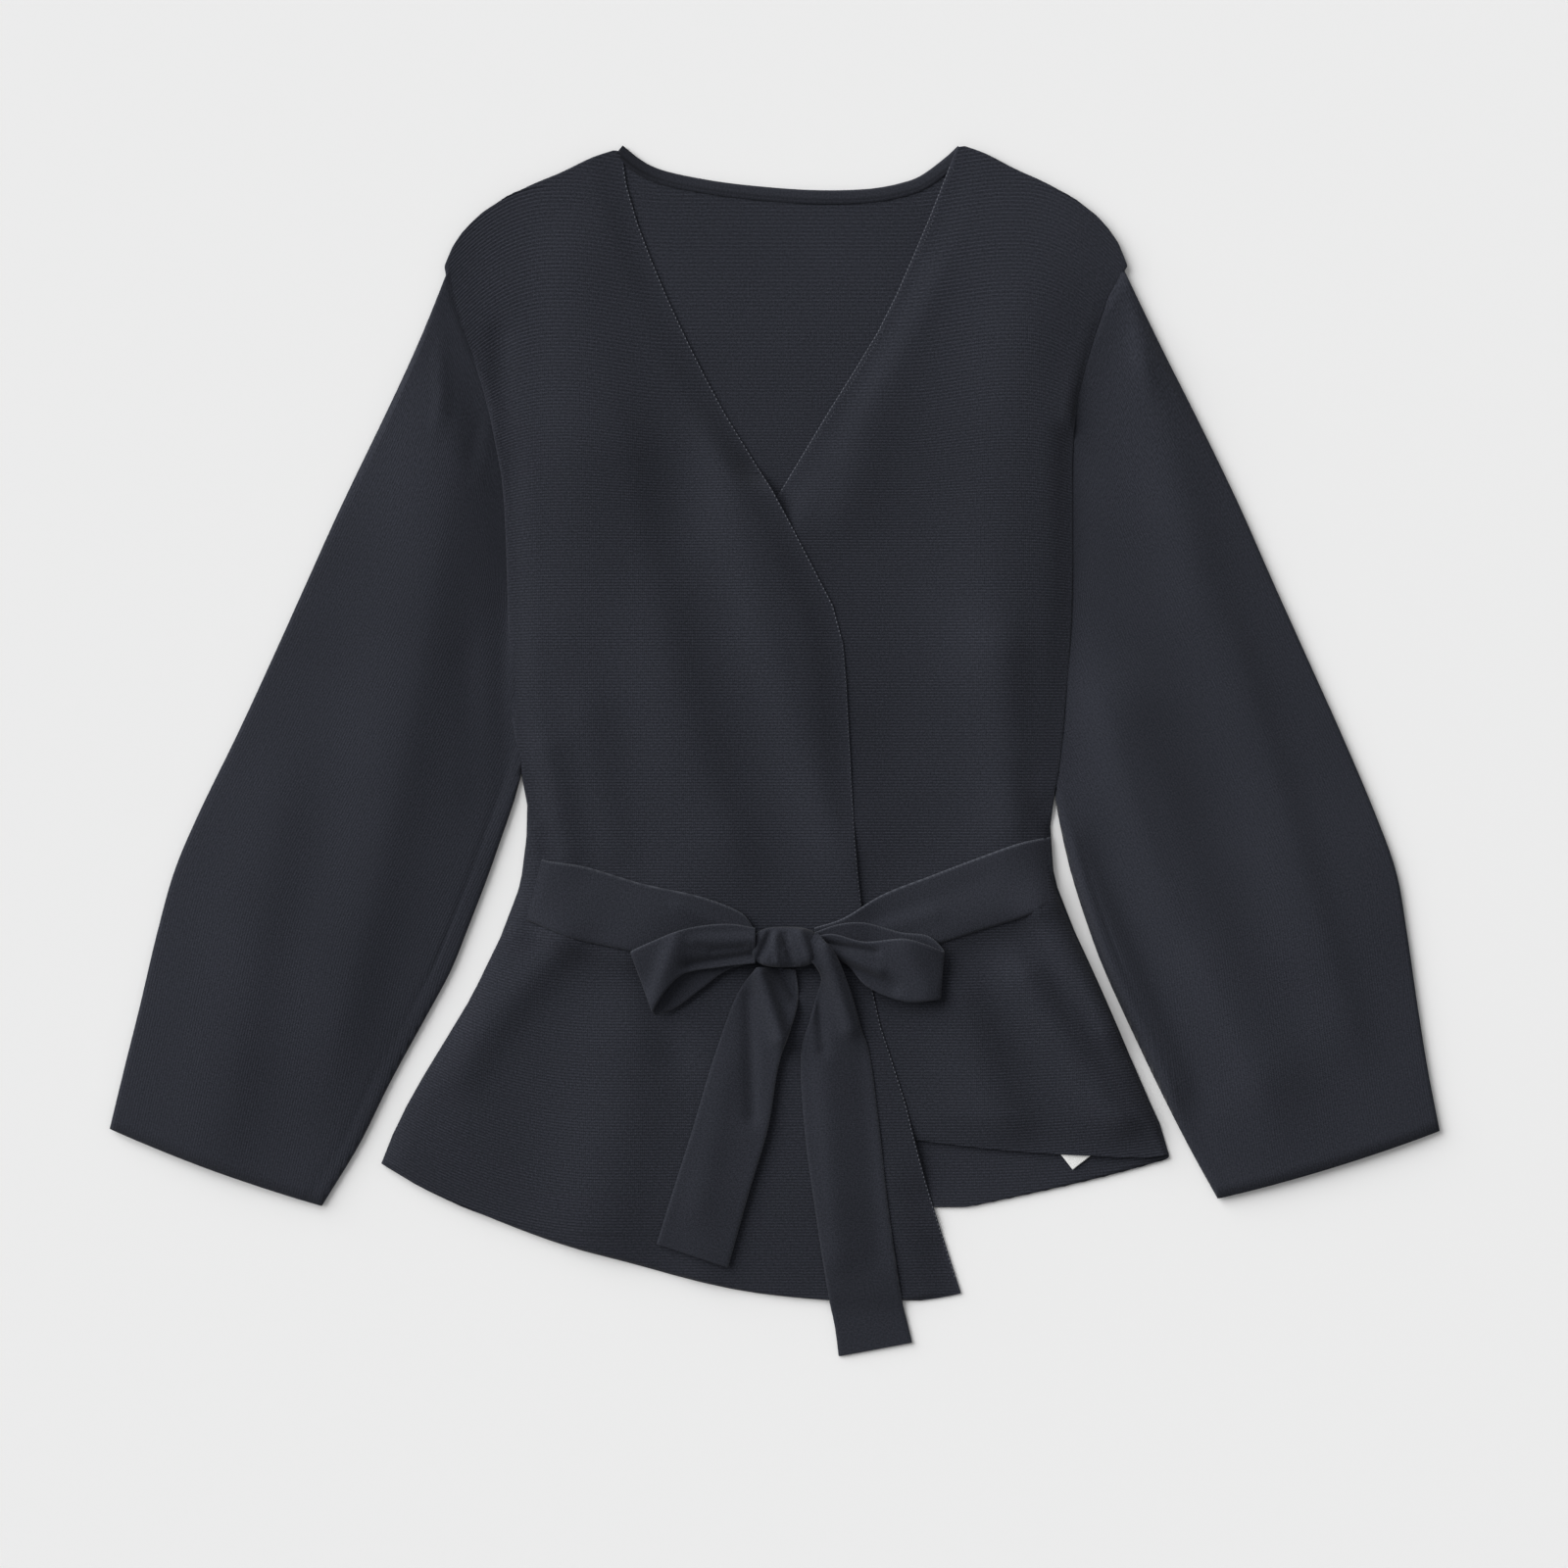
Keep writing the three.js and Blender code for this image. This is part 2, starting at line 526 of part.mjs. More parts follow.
function backGeometry() {
  const shoulderColumns = 5;
  const columns = 2 * shoulderColumns + neckColumns;
  const rows = 16;
  const neckStart = shoulderColumns / columns;
  const neckEnd = 1 - neckStart;
  const sideInset = (y) => {
    const underSleeve = smooth((backInset.top - y) / backInset.topFade);
    const aboveWaist = smooth((y - backInset.bottom) / backInset.bottomFade);
    return (backInset.least + backInset.hidden * underSleeve) * aboveWaist;
  };
  const shoulderInset = backInset.shoulder;
  const tip = { right: rightSide(shoulderY) + shoulderInset, left: leftSide(shoulderY) - shoulderInset };
  const neckPoint = (share) => neckBandPoint(share, neckBandWidth + seamGap);
  const top = (u) => {
    if (u >= neckStart - 1e-6 && u <= neckEnd + 1e-6) {
      return neckPoint((u - neckStart) / (neckEnd - neckStart));
    }
    const right = u < neckStart;
    const share = right ? u / neckStart : (1 - u) / neckStart;
    const x = THREE.MathUtils.lerp(right ? tip.right : tip.left, neckPoint(right ? 0 : 1).x, share);
    return { x, y: (right ? rightShoulder(x) : leftShoulder(x)) - shoulderInset * (1 + 2 * share) };
  };
  const bottom = (u) => {
    const x = THREE.MathUtils.lerp(backHem[0].x, backHem[backHem.length - 1].x, u);
    return { x, y: lookup(backHem, "x", "y", x) };
  };
  const start = (v) => {
    const y = THREE.MathUtils.lerp(shoulderY - shoulderInset, hemCornerY, v);
    return { x: rightSide(y) + sideInset(y) + shoulderInset * (1 - v), y };
  };
  const end = (v) => {
    const y = THREE.MathUtils.lerp(top(1).y, bottom(1).y, v);
    return { x: leftSide(y) - sideInset(y) - shoulderInset * (1 - v), y };
  };
  return panelGeometry({ columns, rows, top, bottom, start, end, under: () => 0 });
}

// The neckline at a share of its width, set back square to its curve
function neckBandPoint(share, inset) {
  const x = THREE.MathUtils.lerp(neckline[0].x, neckline[neckline.length - 1].x, share);
  const step = 0.5;
  const rise = lookup(neckline, "x", "y", x + step) - lookup(neckline, "x", "y", x - step);
  const run = Math.min(x + step, neckline[neckline.length - 1].x) - Math.max(x - step, neckline[0].x);
  const slope = rise / run;
  const length = Math.hypot(1, slope);
  return {
    x: x + (inset * slope) / length,
    y: lookup(neckline, "x", "y", x) - inset / length,
  };
}

function neckBandGeometry() {
  return sheetGeometry(neckColumns, 1, (u, v, face) => {
    const point = neckBandPoint(u, neckBandWidth * v);
    return { ...point, z: face * cloth };
  });
}

function rightFrontGeometry() {
  const tipX = rightSide(shoulderY);
  const last = rightFrontHem[rightFrontHem.length - 1];
  const top = (u) => {
    const x = THREE.MathUtils.lerp(tipX, rightNeck.x, u);
    return { x, y: rightShoulder(x) };
  };
  const bottom = (u) => {
    const x = THREE.MathUtils.lerp(rightFrontHem[0].x, last.x, u);
    return { x, y: lookup(rightFrontHem, "x", "y", x) };
  };
  const start = (v) => {
    const y = THREE.MathUtils.lerp(shoulderY, hemCornerY, v);
    return { x: rightSide(y), y };
  };
  const end = (v) => {
    const y = THREE.MathUtils.lerp(rightNeck.y, last.y, v);
    return { x: rightEdge(y), y };
  };
  return panelGeometry({ columns: 20, rows: 30, top, bottom, start, end, under: rightFrontUnder });
}

function leftFrontGeometry() {
  const tipX = leftSide(shoulderY);
  const first = leftFrontHem[0];
  const last = leftFrontHem[leftFrontHem.length - 1];
  const top = (u) => {
    const x = THREE.MathUtils.lerp(leftNeck.x, tipX, u);
    return { x, y: leftShoulder(x) };
  };
  const bottom = (u) => {
    const x = THREE.MathUtils.lerp(first.x, last.x, u);
    return { x, y: lookup(leftFrontHem, "x", "y", x) };
  };
  const start = (v) => {
    const y = THREE.MathUtils.lerp(leftNeck.y, first.y, v);
    return { x: leftEdge(y), y };
  };
  const end = (v) => {
    const y = THREE.MathUtils.lerp(shoulderY, last.y, v);
    return { x: leftSide(y), y };
  };
  return panelGeometry({ columns: 18, rows: 27, top, bottom, start, end, under: leftFrontUnder });
}

// Height of a sleeve's upper wall, from flat at the armhole to a soft crown
function sleeveTop(x, y, fromEdge, along) {
  const flat = 2 * cloth + seamGap;
  const rise = smooth(along / sleeveOpening.rise);
  const crown = (sleeveCrown + foldHeight(x, y)) * smooth(fromEdge / sleeveOpening.crownFade);
  const nearCuff = smooth((along - sleeveOpening.cuff) / (1 - sleeveOpening.cuff));
  const open = smooth(along / sleeveOpening.open) * (1 - sleeveOpening.cuffClose * nearCuff);
  const height = THREE.MathUtils.lerp(flat, sleeveEdgeHeight, rise) + Math.max(crown, 0) * open;
  return Math.min(height, sleeveLimit);
}

function sleeveGeometry(sleeve) {
  const { sections, side, outward } = sleeve;
  const edge = (x, y) =>
    new THREE.CatmullRomCurve3(
      sections.map((row) => new THREE.Vector3(row[x], row[y], 0)),
      false,
      "centripetal",
    );
  const outerEdge = edge("outerX", "outerY");
  const innerEdge = edge("innerX", "innerY");
  const armhole = (share) => {
    const y = THREE.MathUtils.lerp(shoulderY, sections[0].innerY, share);
    const tucked = sleeveTuck * smooth((tuckStart.y - y) / tuckStart.fade);
    const x = lookup(bodySections, "y", side, y) + outward * (armholeGap - tucked);
    return new THREE.Vector3(x, y, 0);
  };
  const plan = (across, along) => {
    const point = outerEdge.getPoint(along).lerp(innerEdge.getPoint(along), across);
    const straight = outerEdge.getPoint(0).lerp(innerEdge.getPoint(0), across);
    const seam = armhole(across).sub(straight);
    point.addScaledVector(seam, 1 - smooth(along / sleeveOpening.straighten));
    const nearCuff = smooth((along - sleeveOpening.bow) / (1 - sleeveOpening.bow));
    point.y -= cuffBow * 4 * across * (1 - across) * nearCuff;
    return point;
  };
  const place = (stop, wall, along) => {
    const width = outerEdge.getPoint(along).distanceTo(innerEdge.getPoint(along));
    const least = (wall * cloth) / width;
    const across = THREE.MathUtils.clamp(stop.across, least, 1 - least);
    const point = plan(across, along);
    const fromEdge = Math.min(across, 1 - across) * width;
    const top = sleeveTop(point.x, point.y, fromEdge, along);
    const levels = { top: top - wall * cloth, bottom: wall * cloth, edge: top / 2 };
    point.z = levels[stop.level];
    return point;
  };
  const outside = 2;
  const inside = 1;
  const outerWall = [];
  const innerWall = [];
  for (let row = 0; row <= sleeveRows; row += 1) {
    outerWall.push(new THREE.Vector2(outside, row / sleeveRows));
    innerWall.unshift(new THREE.Vector2(inside, row / sleeveRows));
  }
  const profile = [...outerWall, ...innerWall, outerWall[0].clone()];
  const geometry = new THREE.LatheGeometry(profile, sleeveRing.length);
  const position = geometry.attributes.position;
  for (let i = 0; i < position.count; i += 1) {
    const stop = sleeveRing[Math.floor(i / profile.length) % sleeveRing.length];
    const row = profile[i % profile.length];
    const point = place(stop, outside - row.x, row.y);
    position.setXYZ(i, point.x, point.y, point.z);
  }
  return closedSolid(geometry);
}

function knotGeometry() {
  const geometry = new THREE.SphereGeometry(1, 20, 12);
  const position = geometry.attributes.position;
  const square = (value) => Math.sign(value) * Math.abs(value) ** knot.squareness;
  const seat = topOfFronts(knot.x, knot.y) + layerGap;
  for (let i = 0; i < position.count; i += 1) {
    const x = knot.x + knot.halfX * square(position.getX(i));
    const y = knot.y + knot.halfY * square(position.getY(i));
    const z = seat + knot.halfZ * (1 + square(position.getZ(i)));
    position.setXYZ(i, x, y, z);
  }
  return closedSolid(geometry);
}

function careLabelGeometry() {
  const { width, height, thickness } = careLabel;
  const geometry = new THREE.BoxGeometry(width, height, thickness);
  geometry.rotateZ(THREE.MathUtils.degToRad(careLabel.turn));
  geometry.translate(careLabel.x, careLabel.y, cloth + seamGap + thickness / 2);
  return closedSolid(geometry);
}

const navyKnit = { color: 0x30333b, roughness: 0.95, metalness: 0 };
const navyBelt = { color: 0x33363f, roughness: 0.9, metalness: 0 };
const whiteTape = { color: 0xe4e4e2, roughness: 0.6, metalness: 0 };

const pieces = [
  { name: "back", finish: navyKnit, geometry: backGeometry() },
  { name: "back_neck_band", finish: navyBelt, geometry: neckBandGeometry() },
  { name: "front_right", finish: navyKnit, geometry: rightFrontGeometry() },
  { name: "front_left", finish: navyKnit, geometry: leftFrontGeometry() },
  { name: "sleeve_right", finish: navyKnit, geometry: sleeveGeometry(rightSleeve) },
  { name: "sleeve_left", finish: navyKnit, geometry: sleeveGeometry(leftSleeve) },
  { name: "belt_right_strip", finish: navyBelt, geometry: ribbonGeometry(rightStripSections, 4, 11) },
  { name: "belt_left_strip", finish: navyBelt, geometry: ribbonGeometry(leftStripSections, 4, 12) },
  { name: "bow_knot", finish: navyBelt, geometry: knotGeometry() },
  { name: "bow_loop_right", finish: navyBelt, geometry: ribbonGeometry(rightLoopSections, 4, 24) },
  { name: "bow_loop_left", finish: navyBelt, geometry: ribbonGeometry(leftLoopSections, 4, 26) },
  { name: "tail_right", finish: navyBelt, geometry: ribbonGeometry(rightTailSections, 4, 14) },
  { name: "tail_left", finish: navyBelt, geometry: ribbonGeometry(leftTailSections, 4, 22) },
  { name: "care_label", finish: whiteTape, geometry: careLabelGeometry() },
];

const group = new THREE.Group();
for (const { name, finish, geometry } of pieces) {
  const mesh = new THREE.Mesh(geometry, new THREE.MeshStandardMaterial(finish));
  mesh.name = name;
  group.add(mesh);
}

export default group;
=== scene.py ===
import math

import bmesh
import bpy
import numpy as np
from mathutils import Matrix, Vector
from mathutils.bvhtree import BVHTree


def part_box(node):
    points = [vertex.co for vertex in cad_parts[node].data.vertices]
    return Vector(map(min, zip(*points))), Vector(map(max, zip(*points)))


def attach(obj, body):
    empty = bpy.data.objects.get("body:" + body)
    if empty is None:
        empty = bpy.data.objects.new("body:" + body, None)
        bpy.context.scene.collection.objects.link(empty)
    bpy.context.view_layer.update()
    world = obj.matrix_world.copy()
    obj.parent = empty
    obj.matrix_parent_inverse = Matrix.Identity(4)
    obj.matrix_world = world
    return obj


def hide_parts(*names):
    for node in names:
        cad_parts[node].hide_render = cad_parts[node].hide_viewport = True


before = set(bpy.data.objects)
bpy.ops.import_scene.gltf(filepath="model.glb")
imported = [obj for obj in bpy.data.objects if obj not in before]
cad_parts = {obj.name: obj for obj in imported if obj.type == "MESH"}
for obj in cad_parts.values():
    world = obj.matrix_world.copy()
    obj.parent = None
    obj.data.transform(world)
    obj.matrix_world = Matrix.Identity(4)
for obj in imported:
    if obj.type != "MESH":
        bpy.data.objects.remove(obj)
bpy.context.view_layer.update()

# Knit wrap jacket laid flat, seen from straight above. Sizes are millimetres
# until a mesh is written, x to the wearer's left, y to the neck.

mm = 0.001


def table(columns, *lines):
    # One dictionary for each line of numbers, with the columns' names
    return [dict(zip(columns.split(), line)) for line in lines]


def addObject(name, data):
    thing = bpy.data.objects.new(name, data)
    bpy.context.scene.collection.objects.link(thing)
    return thing


foldColumns = "x0 y0 x1 y1 left right height bend to"
sleeveColumns = "outerX outerY innerX innerY"
tapeColumns = "ax ay bx by aRise bRise"

print("stage: camera, light and floor")

studio = {
    "centre": (5.94, -21.56),      # middle of the picture, on the cloth
    "pictureWidth": 1000,
    "clothHeight": 6,
    "lens": 100,
    "sensor": 36,
    "world": 0.33,
    "viewTo": 50,                  # metres, as are the next three
    "lightAway": 2,
    "floorHalf": 4,
    "floorDrop": 0.0003,
    "floor": {"Base Color": (0.82, 0.82, 0.82, 1), "Roughness": 0.9, "Specular IOR Level": 0.1},
    "lights": [
        {"name": "keyLight", "from": (-0.74, 0.49, 0.46), "spread": 60, "strength": 4.35},
        {"name": "fillLight", "from": (0.30, 0.30, 0.90), "spread": 60, "strength": 0.18},
    ],
}


def makeStudio():
    scene = bpy.context.scene
    camera = addObject("camera", bpy.data.cameras.new("camera"))
    camera.data.lens = studio["lens"]
    camera.data.sensor_width = studio["sensor"]
    distance = studio["pictureWidth"] * studio["lens"] / studio["sensor"]
    centreX, centreY = studio["centre"]
    camera.location = Vector((centreX, centreY, studio["clothHeight"] + distance)) * mm
    camera.data.clip_end = studio["viewTo"]
    scene.camera = camera
    for settings in studio["lights"]:
        data = bpy.data.lights.new(settings["name"], "SUN")
        data.angle = math.radians(settings["spread"])
        data.energy = settings["strength"]
        light = addObject(settings["name"], data)
        direction = Vector(settings["from"])
        light.location = direction * studio["lightAway"]
        light.rotation_euler = (-direction).to_track_quat("-Z", "Y").to_euler()
    world = bpy.data.worlds.new("studioAir")
    world.use_nodes = True
    grey = studio["world"]
    world.node_tree.nodes["Background"].inputs["Color"].default_value = (grey, grey, grey, 1)
    scene.world = world
    scene.view_settings.view_transform = "Standard"

    floorMesh = bpy.data.meshes.new("floor")
    bm = bmesh.new()
    bmesh.ops.create_grid(bm, x_segments=1, y_segments=1, size=studio["floorHalf"])
    bmesh.ops.translate(bm, verts=bm.verts, vec=(0, 0, -studio["floorDrop"]))
    bm.to_mesh(floorMesh)
    bm.free()
    floor = addObject("floor", floorMesh)
    paint = bpy.data.materials.new("floorPaint")
    paint.use_nodes = True
    for entry, value in studio["floor"].items():
        paint.node_tree.nodes["Principled BSDF"].inputs[entry].default_value = value
    floorMesh.materials.append(paint)


makeStudio()

print("stage: knit materials")

softYarn = {"Roughness": 0.92, "Specular IOR Level": 0.10, "Sheen Weight": 0.05, "Sheen Roughness": 0.55}
beltYarn = {"Roughness": 0.90, "Specular IOR Level": 0.12, "Sheen Weight": 0.06, "Sheen Roughness": 0.5}
# Each look's dark and light colours are the yarn's own heathered tone. Its edge colour is a painted highlight
# for edges and stitches, and its darkest colour is painted shade for the rib grooves and the neck band.
knitLooks = {
    "rib_knit": {
        "dark": (0.0146, 0.0162, 0.0218), "light": (0.0322, 0.0345, 0.0456),
        "edge": (0.150, 0.158, 0.185), "paintedShade": (0.0060, 0.0066, 0.0092),
        "shader": softYarn,
        "stitchAcross": 1.25, "stitchAlong": 0.95, "stitchRelief": 0.10, "fibreRelief": 0.05,
    },
    "sleeve_knit": {
        "dark": (0.0150, 0.0166, 0.0224), "light": (0.0285, 0.0306, 0.0405),
        "edge": (0.060, 0.066, 0.085), "paintedShade": (0.0075, 0.0082, 0.0115),
        "shader": softYarn,
        "stitchAcross": 1.6, "stitchAlong": 1.1, "stitchRelief": 0.08, "fibreRelief": 0.05,
    },
    "belt_knit": {
        "dark": (0.0137, 0.0152, 0.0205), "light": (0.0258, 0.0277, 0.0368),
        "edge": (0.120, 0.128, 0.150), "paintedShade": (0.0060, 0.0066, 0.0092),
        "shader": beltYarn,
        "stitchAcross": 1.0, "stitchAlong": 1.2, "stitchRelief": 0.07, "fibreRelief": 0.04,
    },
}


yarn = {
    "cloudScale": 9, "cloudShare": 0.16,           # slow drift of the dye, about 100 mm
    "melangeScale": 0.85, "melangeShare": 0.84,    # heathered yarn
    "detail": 3, "darkAt": 0.36, "lightAt": 0.64, "waver": 0.6, "waverScale": 0.4,
}
tape = {
    "dark": (0.70, 0.70, 0.69), "light": (0.84, 0.84, 0.82), "roughness": 0.45,
    "weave": 0.35, "weft": 0.5, "relief": 0.04,
}


def clothMaterial(name):
    material = bpy.data.materials.new(name)
    material.use_nodes = True
    tree = material.node_tree
    uv = tree.nodes.new("ShaderNodeUVMap")
    uv.uv_map = "knit"
    return material, tree, tree.nodes["Principled BSDF"], uv.outputs["UV"]


def bandNode(tree, uv, direction, period):
    # Sine bands across the piece's own UV map, which is in millimetres
    wave = tree.nodes.new("ShaderNodeTexWave")
    wave.bands_direction = direction
    wave.inputs["Scale"].default_value = math.tau / 20 / period
    wave.inputs["Distortion"].default_value = yarn["waver"]
    wave.inputs["Detail Scale"].default_value = yarn["waverScale"]
    tree.links.new(uv, wave.inputs["Vector"])
    return wave.outputs["Fac"]


def noiseNode(tree, place, scale):
    noise = tree.nodes.new("ShaderNodeTexNoise")
    noise.inputs["Scale"].default_value = scale
    noise.inputs["Detail"].default_value = yarn["detail"]
    tree.links.new(place, noise.inputs["Vector"])
    return noise.outputs["Fac"]


def mathNode(tree, operation, first, second):
    node = tree.nodes.new("ShaderNodeMath")
    node.operation = operation
    for index, value in enumerate((first, second)):
        if isinstance(value, (int, float)):
            node.inputs[index].default_value = value
        else:
            tree.links.new(value, node.inputs[index])
    return node.outputs["Value"]


def rampNode(tree, tone, look, darkAt, lightAt):
    ramp = tree.nodes.new("ShaderNodeValToRGB")
    for element, place, colour in zip(ramp.color_ramp.elements, (darkAt, lightAt), ("dark", "light")):
        element.position = place
        element.color = (*look[colour], 1)
    tree.links.new(tone, ramp.inputs["Fac"])
    return ramp.outputs["Color"]


def overlay(tree, under, colour, attribute):
    # Lays a colour over another as strongly as the mesh's attribute says
    share = tree.nodes.new("ShaderNodeAttribute")
    share.attribute_name = attribute
    mix = tree.nodes.new("ShaderNodeMix")
    mix.data_type = "RGBA"
    mix.inputs["B"].default_value = (*colour, 1)
    tree.links.new(share.outputs["Fac"], mix.inputs["Factor"])
    tree.links.new(under, mix.inputs["A"])
    return mix.outputs["Result"]


def bumpNode(tree, height, distance, shader):
    bump = tree.nodes.new("ShaderNodeBump")
    bump.inputs["Distance"].default_value = distance * mm
    bump.inputs["Strength"].default_value = 1
    tree.links.new(height, bump.inputs["Height"])
    tree.links.new(bump.outputs["Normal"], shader.inputs["Normal"])


def knitMaterial(name, look):
    material, tree, shader, uv = clothMaterial(name)
    place = tree.nodes.new("ShaderNodeTexCoord").outputs["Object"]
    cloud = noiseNode(tree, place, yarn["cloudScale"])
    melange = noiseNode(tree, uv, yarn["melangeScale"])
    across = bandNode(tree, uv, "X", look["stitchAcross"])
    along = bandNode(tree, uv, "Y", look["stitchAlong"])
    loops = mathNode(tree, "MULTIPLY", across, along)

    drift = mathNode(tree, "MULTIPLY", cloud, yarn["cloudShare"])
    fibre = mathNode(tree, "MULTIPLY", melange, yarn["melangeShare"])
    tone = mathNode(tree, "ADD", drift, fibre)
    colour = rampNode(tree, tone, look, yarn["darkAt"], yarn["lightAt"])
    # Painted highlight along edges and stitches, then painted shade in the rib grooves and along the neck
    # band
    colour = overlay(tree, colour, look["edge"], "paintedHighlight")
    colour = overlay(tree, colour, look["paintedShade"], "paintedShade")
    tree.links.new(colour, shader.inputs["Base Color"])

    stitches = mathNode(tree, "MULTIPLY", loops, look["stitchRelief"])
    fuzz = mathNode(tree, "MULTIPLY", melange, look["fibreRelief"])
    bumpNode(tree, mathNode(tree, "ADD", stitches, fuzz), 1, shader)
    for entry, value in look["shader"].items():
        shader.inputs[entry].default_value = value
    return material


def tapeMaterial():
    material, tree, shader, uv = clothMaterial("label_tape")
    weave = bandNode(tree, uv, "X", tape["weave"])
    weft = bandNode(tree, uv, "Y", tape["weft"])
    threads = mathNode(tree, "ADD", weave, weft)
    colour = rampNode(tree, mathNode(tree, "MULTIPLY", threads, 0.5), tape, 0, 1)
    tree.links.new(colour, shader.inputs["Base Color"])
    bumpNode(tree, threads, tape["relief"], shader)
    shader.inputs["Roughness"].default_value = tape["roughness"]
    return material


materials = {name: knitMaterial(name, look) for name, look in knitLooks.items()}
materials["label_tape"] = tapeMaterial()

print("stage: frame heights")

mapCell = 4.0          # grid of the height maps
mapReach = 40.0        # how far a map goes on past its piece
mapBlur = 2.2          # soft radius in cells, takes the facets of the solids out
rayStart = 0.2         # metres, above everything


def smooth(value):
    value = np.clip(value, 0, 1)
    return value * value * (3 - 2 * value)


def meshTree(mesh):
    points = [vertex.co.copy() for vertex in mesh.vertices]
    return BVHTree.FromPolygons(points, [tuple(face.vertices) for face in mesh.polygons])


def solidTree(name):
    return meshTree(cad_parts[name].data)


def topAt(tree, x, y):
    hit = tree.ray_cast(Vector((x * mm, y * mm, rayStart)), Vector((0, 0, -1)))
    return None if hit[0] is None else hit[0].z / mm


def fillOutwards(z):
    # Carries the heights of the piece on past its edge
    rows, columns = z.shape
    for step in range(int(2 * mapReach / mapCell)):
        known = ~np.isnan(z)
        if known.all():
            break
        heights = np.pad(np.where(known, z, 0.0), 1)
        counts = np.pad(known.astype(float), 1)
        total = np.zeros_like(z)
        count = np.zeros_like(z)
        for rowShift in (0, 1, 2):
            for columnShift in (0, 1, 2):
                window = np.s_[rowShift:rowShift + rows, columnShift:columnShift + columns]
                total += heights[window]
                count += counts[window]
        grown = ~known & (count > 0)
        z[grown] = total[grown] / count[grown]
    return np.where(np.isnan(z), np.nanmean(z), z)


def blurred(z, radius):
    reach = int(3 * radius) + 1
    kernel = np.exp(-0.5 * (np.arange(-reach, reach + 1) / radius) ** 2)
    kernel /= kernel.sum()
    for axis in (0, 1):
        padding = [(reach, reach) if axis == side else (0, 0) for side in (0, 1)]
        wide = np.pad(z, padding, mode="edge")
        z = np.apply_along_axis(lambda line: np.convolve(line, kernel, mode="valid"), axis, wide)
    return z


def heightMap(name):
    tree = solidTree(name)
    low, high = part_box(name)
    xs = np.arange(low[0] / mm - mapReach, high[0] / mm + mapReach, mapCell)
    ys = np.arange(low[1] / mm - mapReach, high[1] / mm + mapReach, mapCell)
    z = np.array([[topAt(tree, x, y) for x in xs] for y in ys], dtype=float)
    return {"x0": xs[0], "y0": ys[0], "z": blurred(fillOutwards(z), mapBlur)}


def readMap(heights, x, y):
    # Cubic B-spline through the grid, so the cloth has no facets
    column = np.clip((x - heights["x0"]) / mapCell, 1, heights["z"].shape[1] - 3)
    row = np.clip((y - heights["y0"]) / mapCell, 1, heights["z"].shape[0] - 3)
    columnIndex = np.floor(column).astype(int)
    rowIndex = np.floor(row).astype(int)

    def weights(t):
        return (
            (1 - t) ** 3 / 6,
            (3 * t ** 3 - 6 * t ** 2 + 4) / 6,
            (-3 * t ** 3 + 3 * t ** 2 + 3 * t + 1) / 6,
            t ** 3 / 6,
        )

    columnWeights = weights(column - columnIndex)
    rowWeights = weights(row - rowIndex)
    total = np.zeros_like(column)
    for i, rowWeight in enumerate(rowWeights):
        for j, columnWeight in enumerate(columnWeights):
            total += rowWeight * columnWeight * heights["z"][rowIndex + i - 1, columnIndex + j - 1]
    return total


# Soft folds that the solids are too coarse to show. A trough has a height below zero,
# left and right are the widths on the two sides of its line, and bend bows the line.
frontFolds = table(
    foldColumns,
    (-98, 186, -34, -52, 44, 22, 4.0, -7),
    (-128, 300, -130, 40, 26, 30, 1.6),
    (-26, 176, 42, -44, 20, 38, 4.0, -6),
    (158, 262, 146, 70, 36, 40, 3.2),
    (146, 60, 153, -44, 22, 12, 2.8),
    (94, 300, 46, 160, 14, 20, 1.6, -4),
    (-118, 20, -104, -60, 12, 16, 1.4),
    (-176, 262, -172, 178, 7, 9, -1.3),
    (-146, -2, -134, -62, 7, 12, 1.5),
    (-154, -26, -146, -64, 5, 6, -1.6),
    (-138, -126, -200, -202, 14, 12, 2.7, -3),
    (-136, -118, -94, -130, 12, 34, 3.8),
    (-80, -142, -64, -192, 12, 12, -1.6),
    (114, -114, 148, -102, 12, 34, 3.8),
    (-156, -112, -152, -122, 6, 6, -1.5),
    (-96, -190, -112, -290, 32, 30, 2.2),
    (-206, -196, -226, -236, 10, 10, -0.7),
    (-40, -200, -48, -340, 18, 18, 1.2),
    (160, -18, 166, -50, 6, 8, -1.3),
    (168, -106, 214, -176, 8, 10, 4.0),
    (162, -146, 222, -234, 15, 8.5, 4.8),
    (180, -98, 244, -232, 13, 15, 2.4),
    (120, -160, 150, -240, 24, 11, 3.2),
)

sleeveFolds = table(
    foldColumns,
    (-215, 296, -213, 214, 3, 5, 1.4),
    (-204, 214, -280, -170, 40, 24, 3.6, 6),
    (-196, 60, -190, -30, 10, 8, -0.8),
    (-318, -40, -352, -230, 30, 22, 2.0),
    (228, 296, 236, 238, 5, 6, 1.8),
    (240, 240, 272, 100, 20, 18, 2.6),
    (216, 20, 308, -200, 18, 30, 4.6, -6),
    (292, 60, 362, -170, 26, 15, 2.6),
    (181, -60, 246, -216, 6, 18, 3.6),
    (206, -64, 270, -214, 9, 12, -1.2),
    (232, -20, 262, -110, 12, 12, -0.6),
)

foldStrength = 1.6     # how much stronger the folds are than their heights below
foldEnds = 0.7         # how soon a fold fades past its ends, in widths


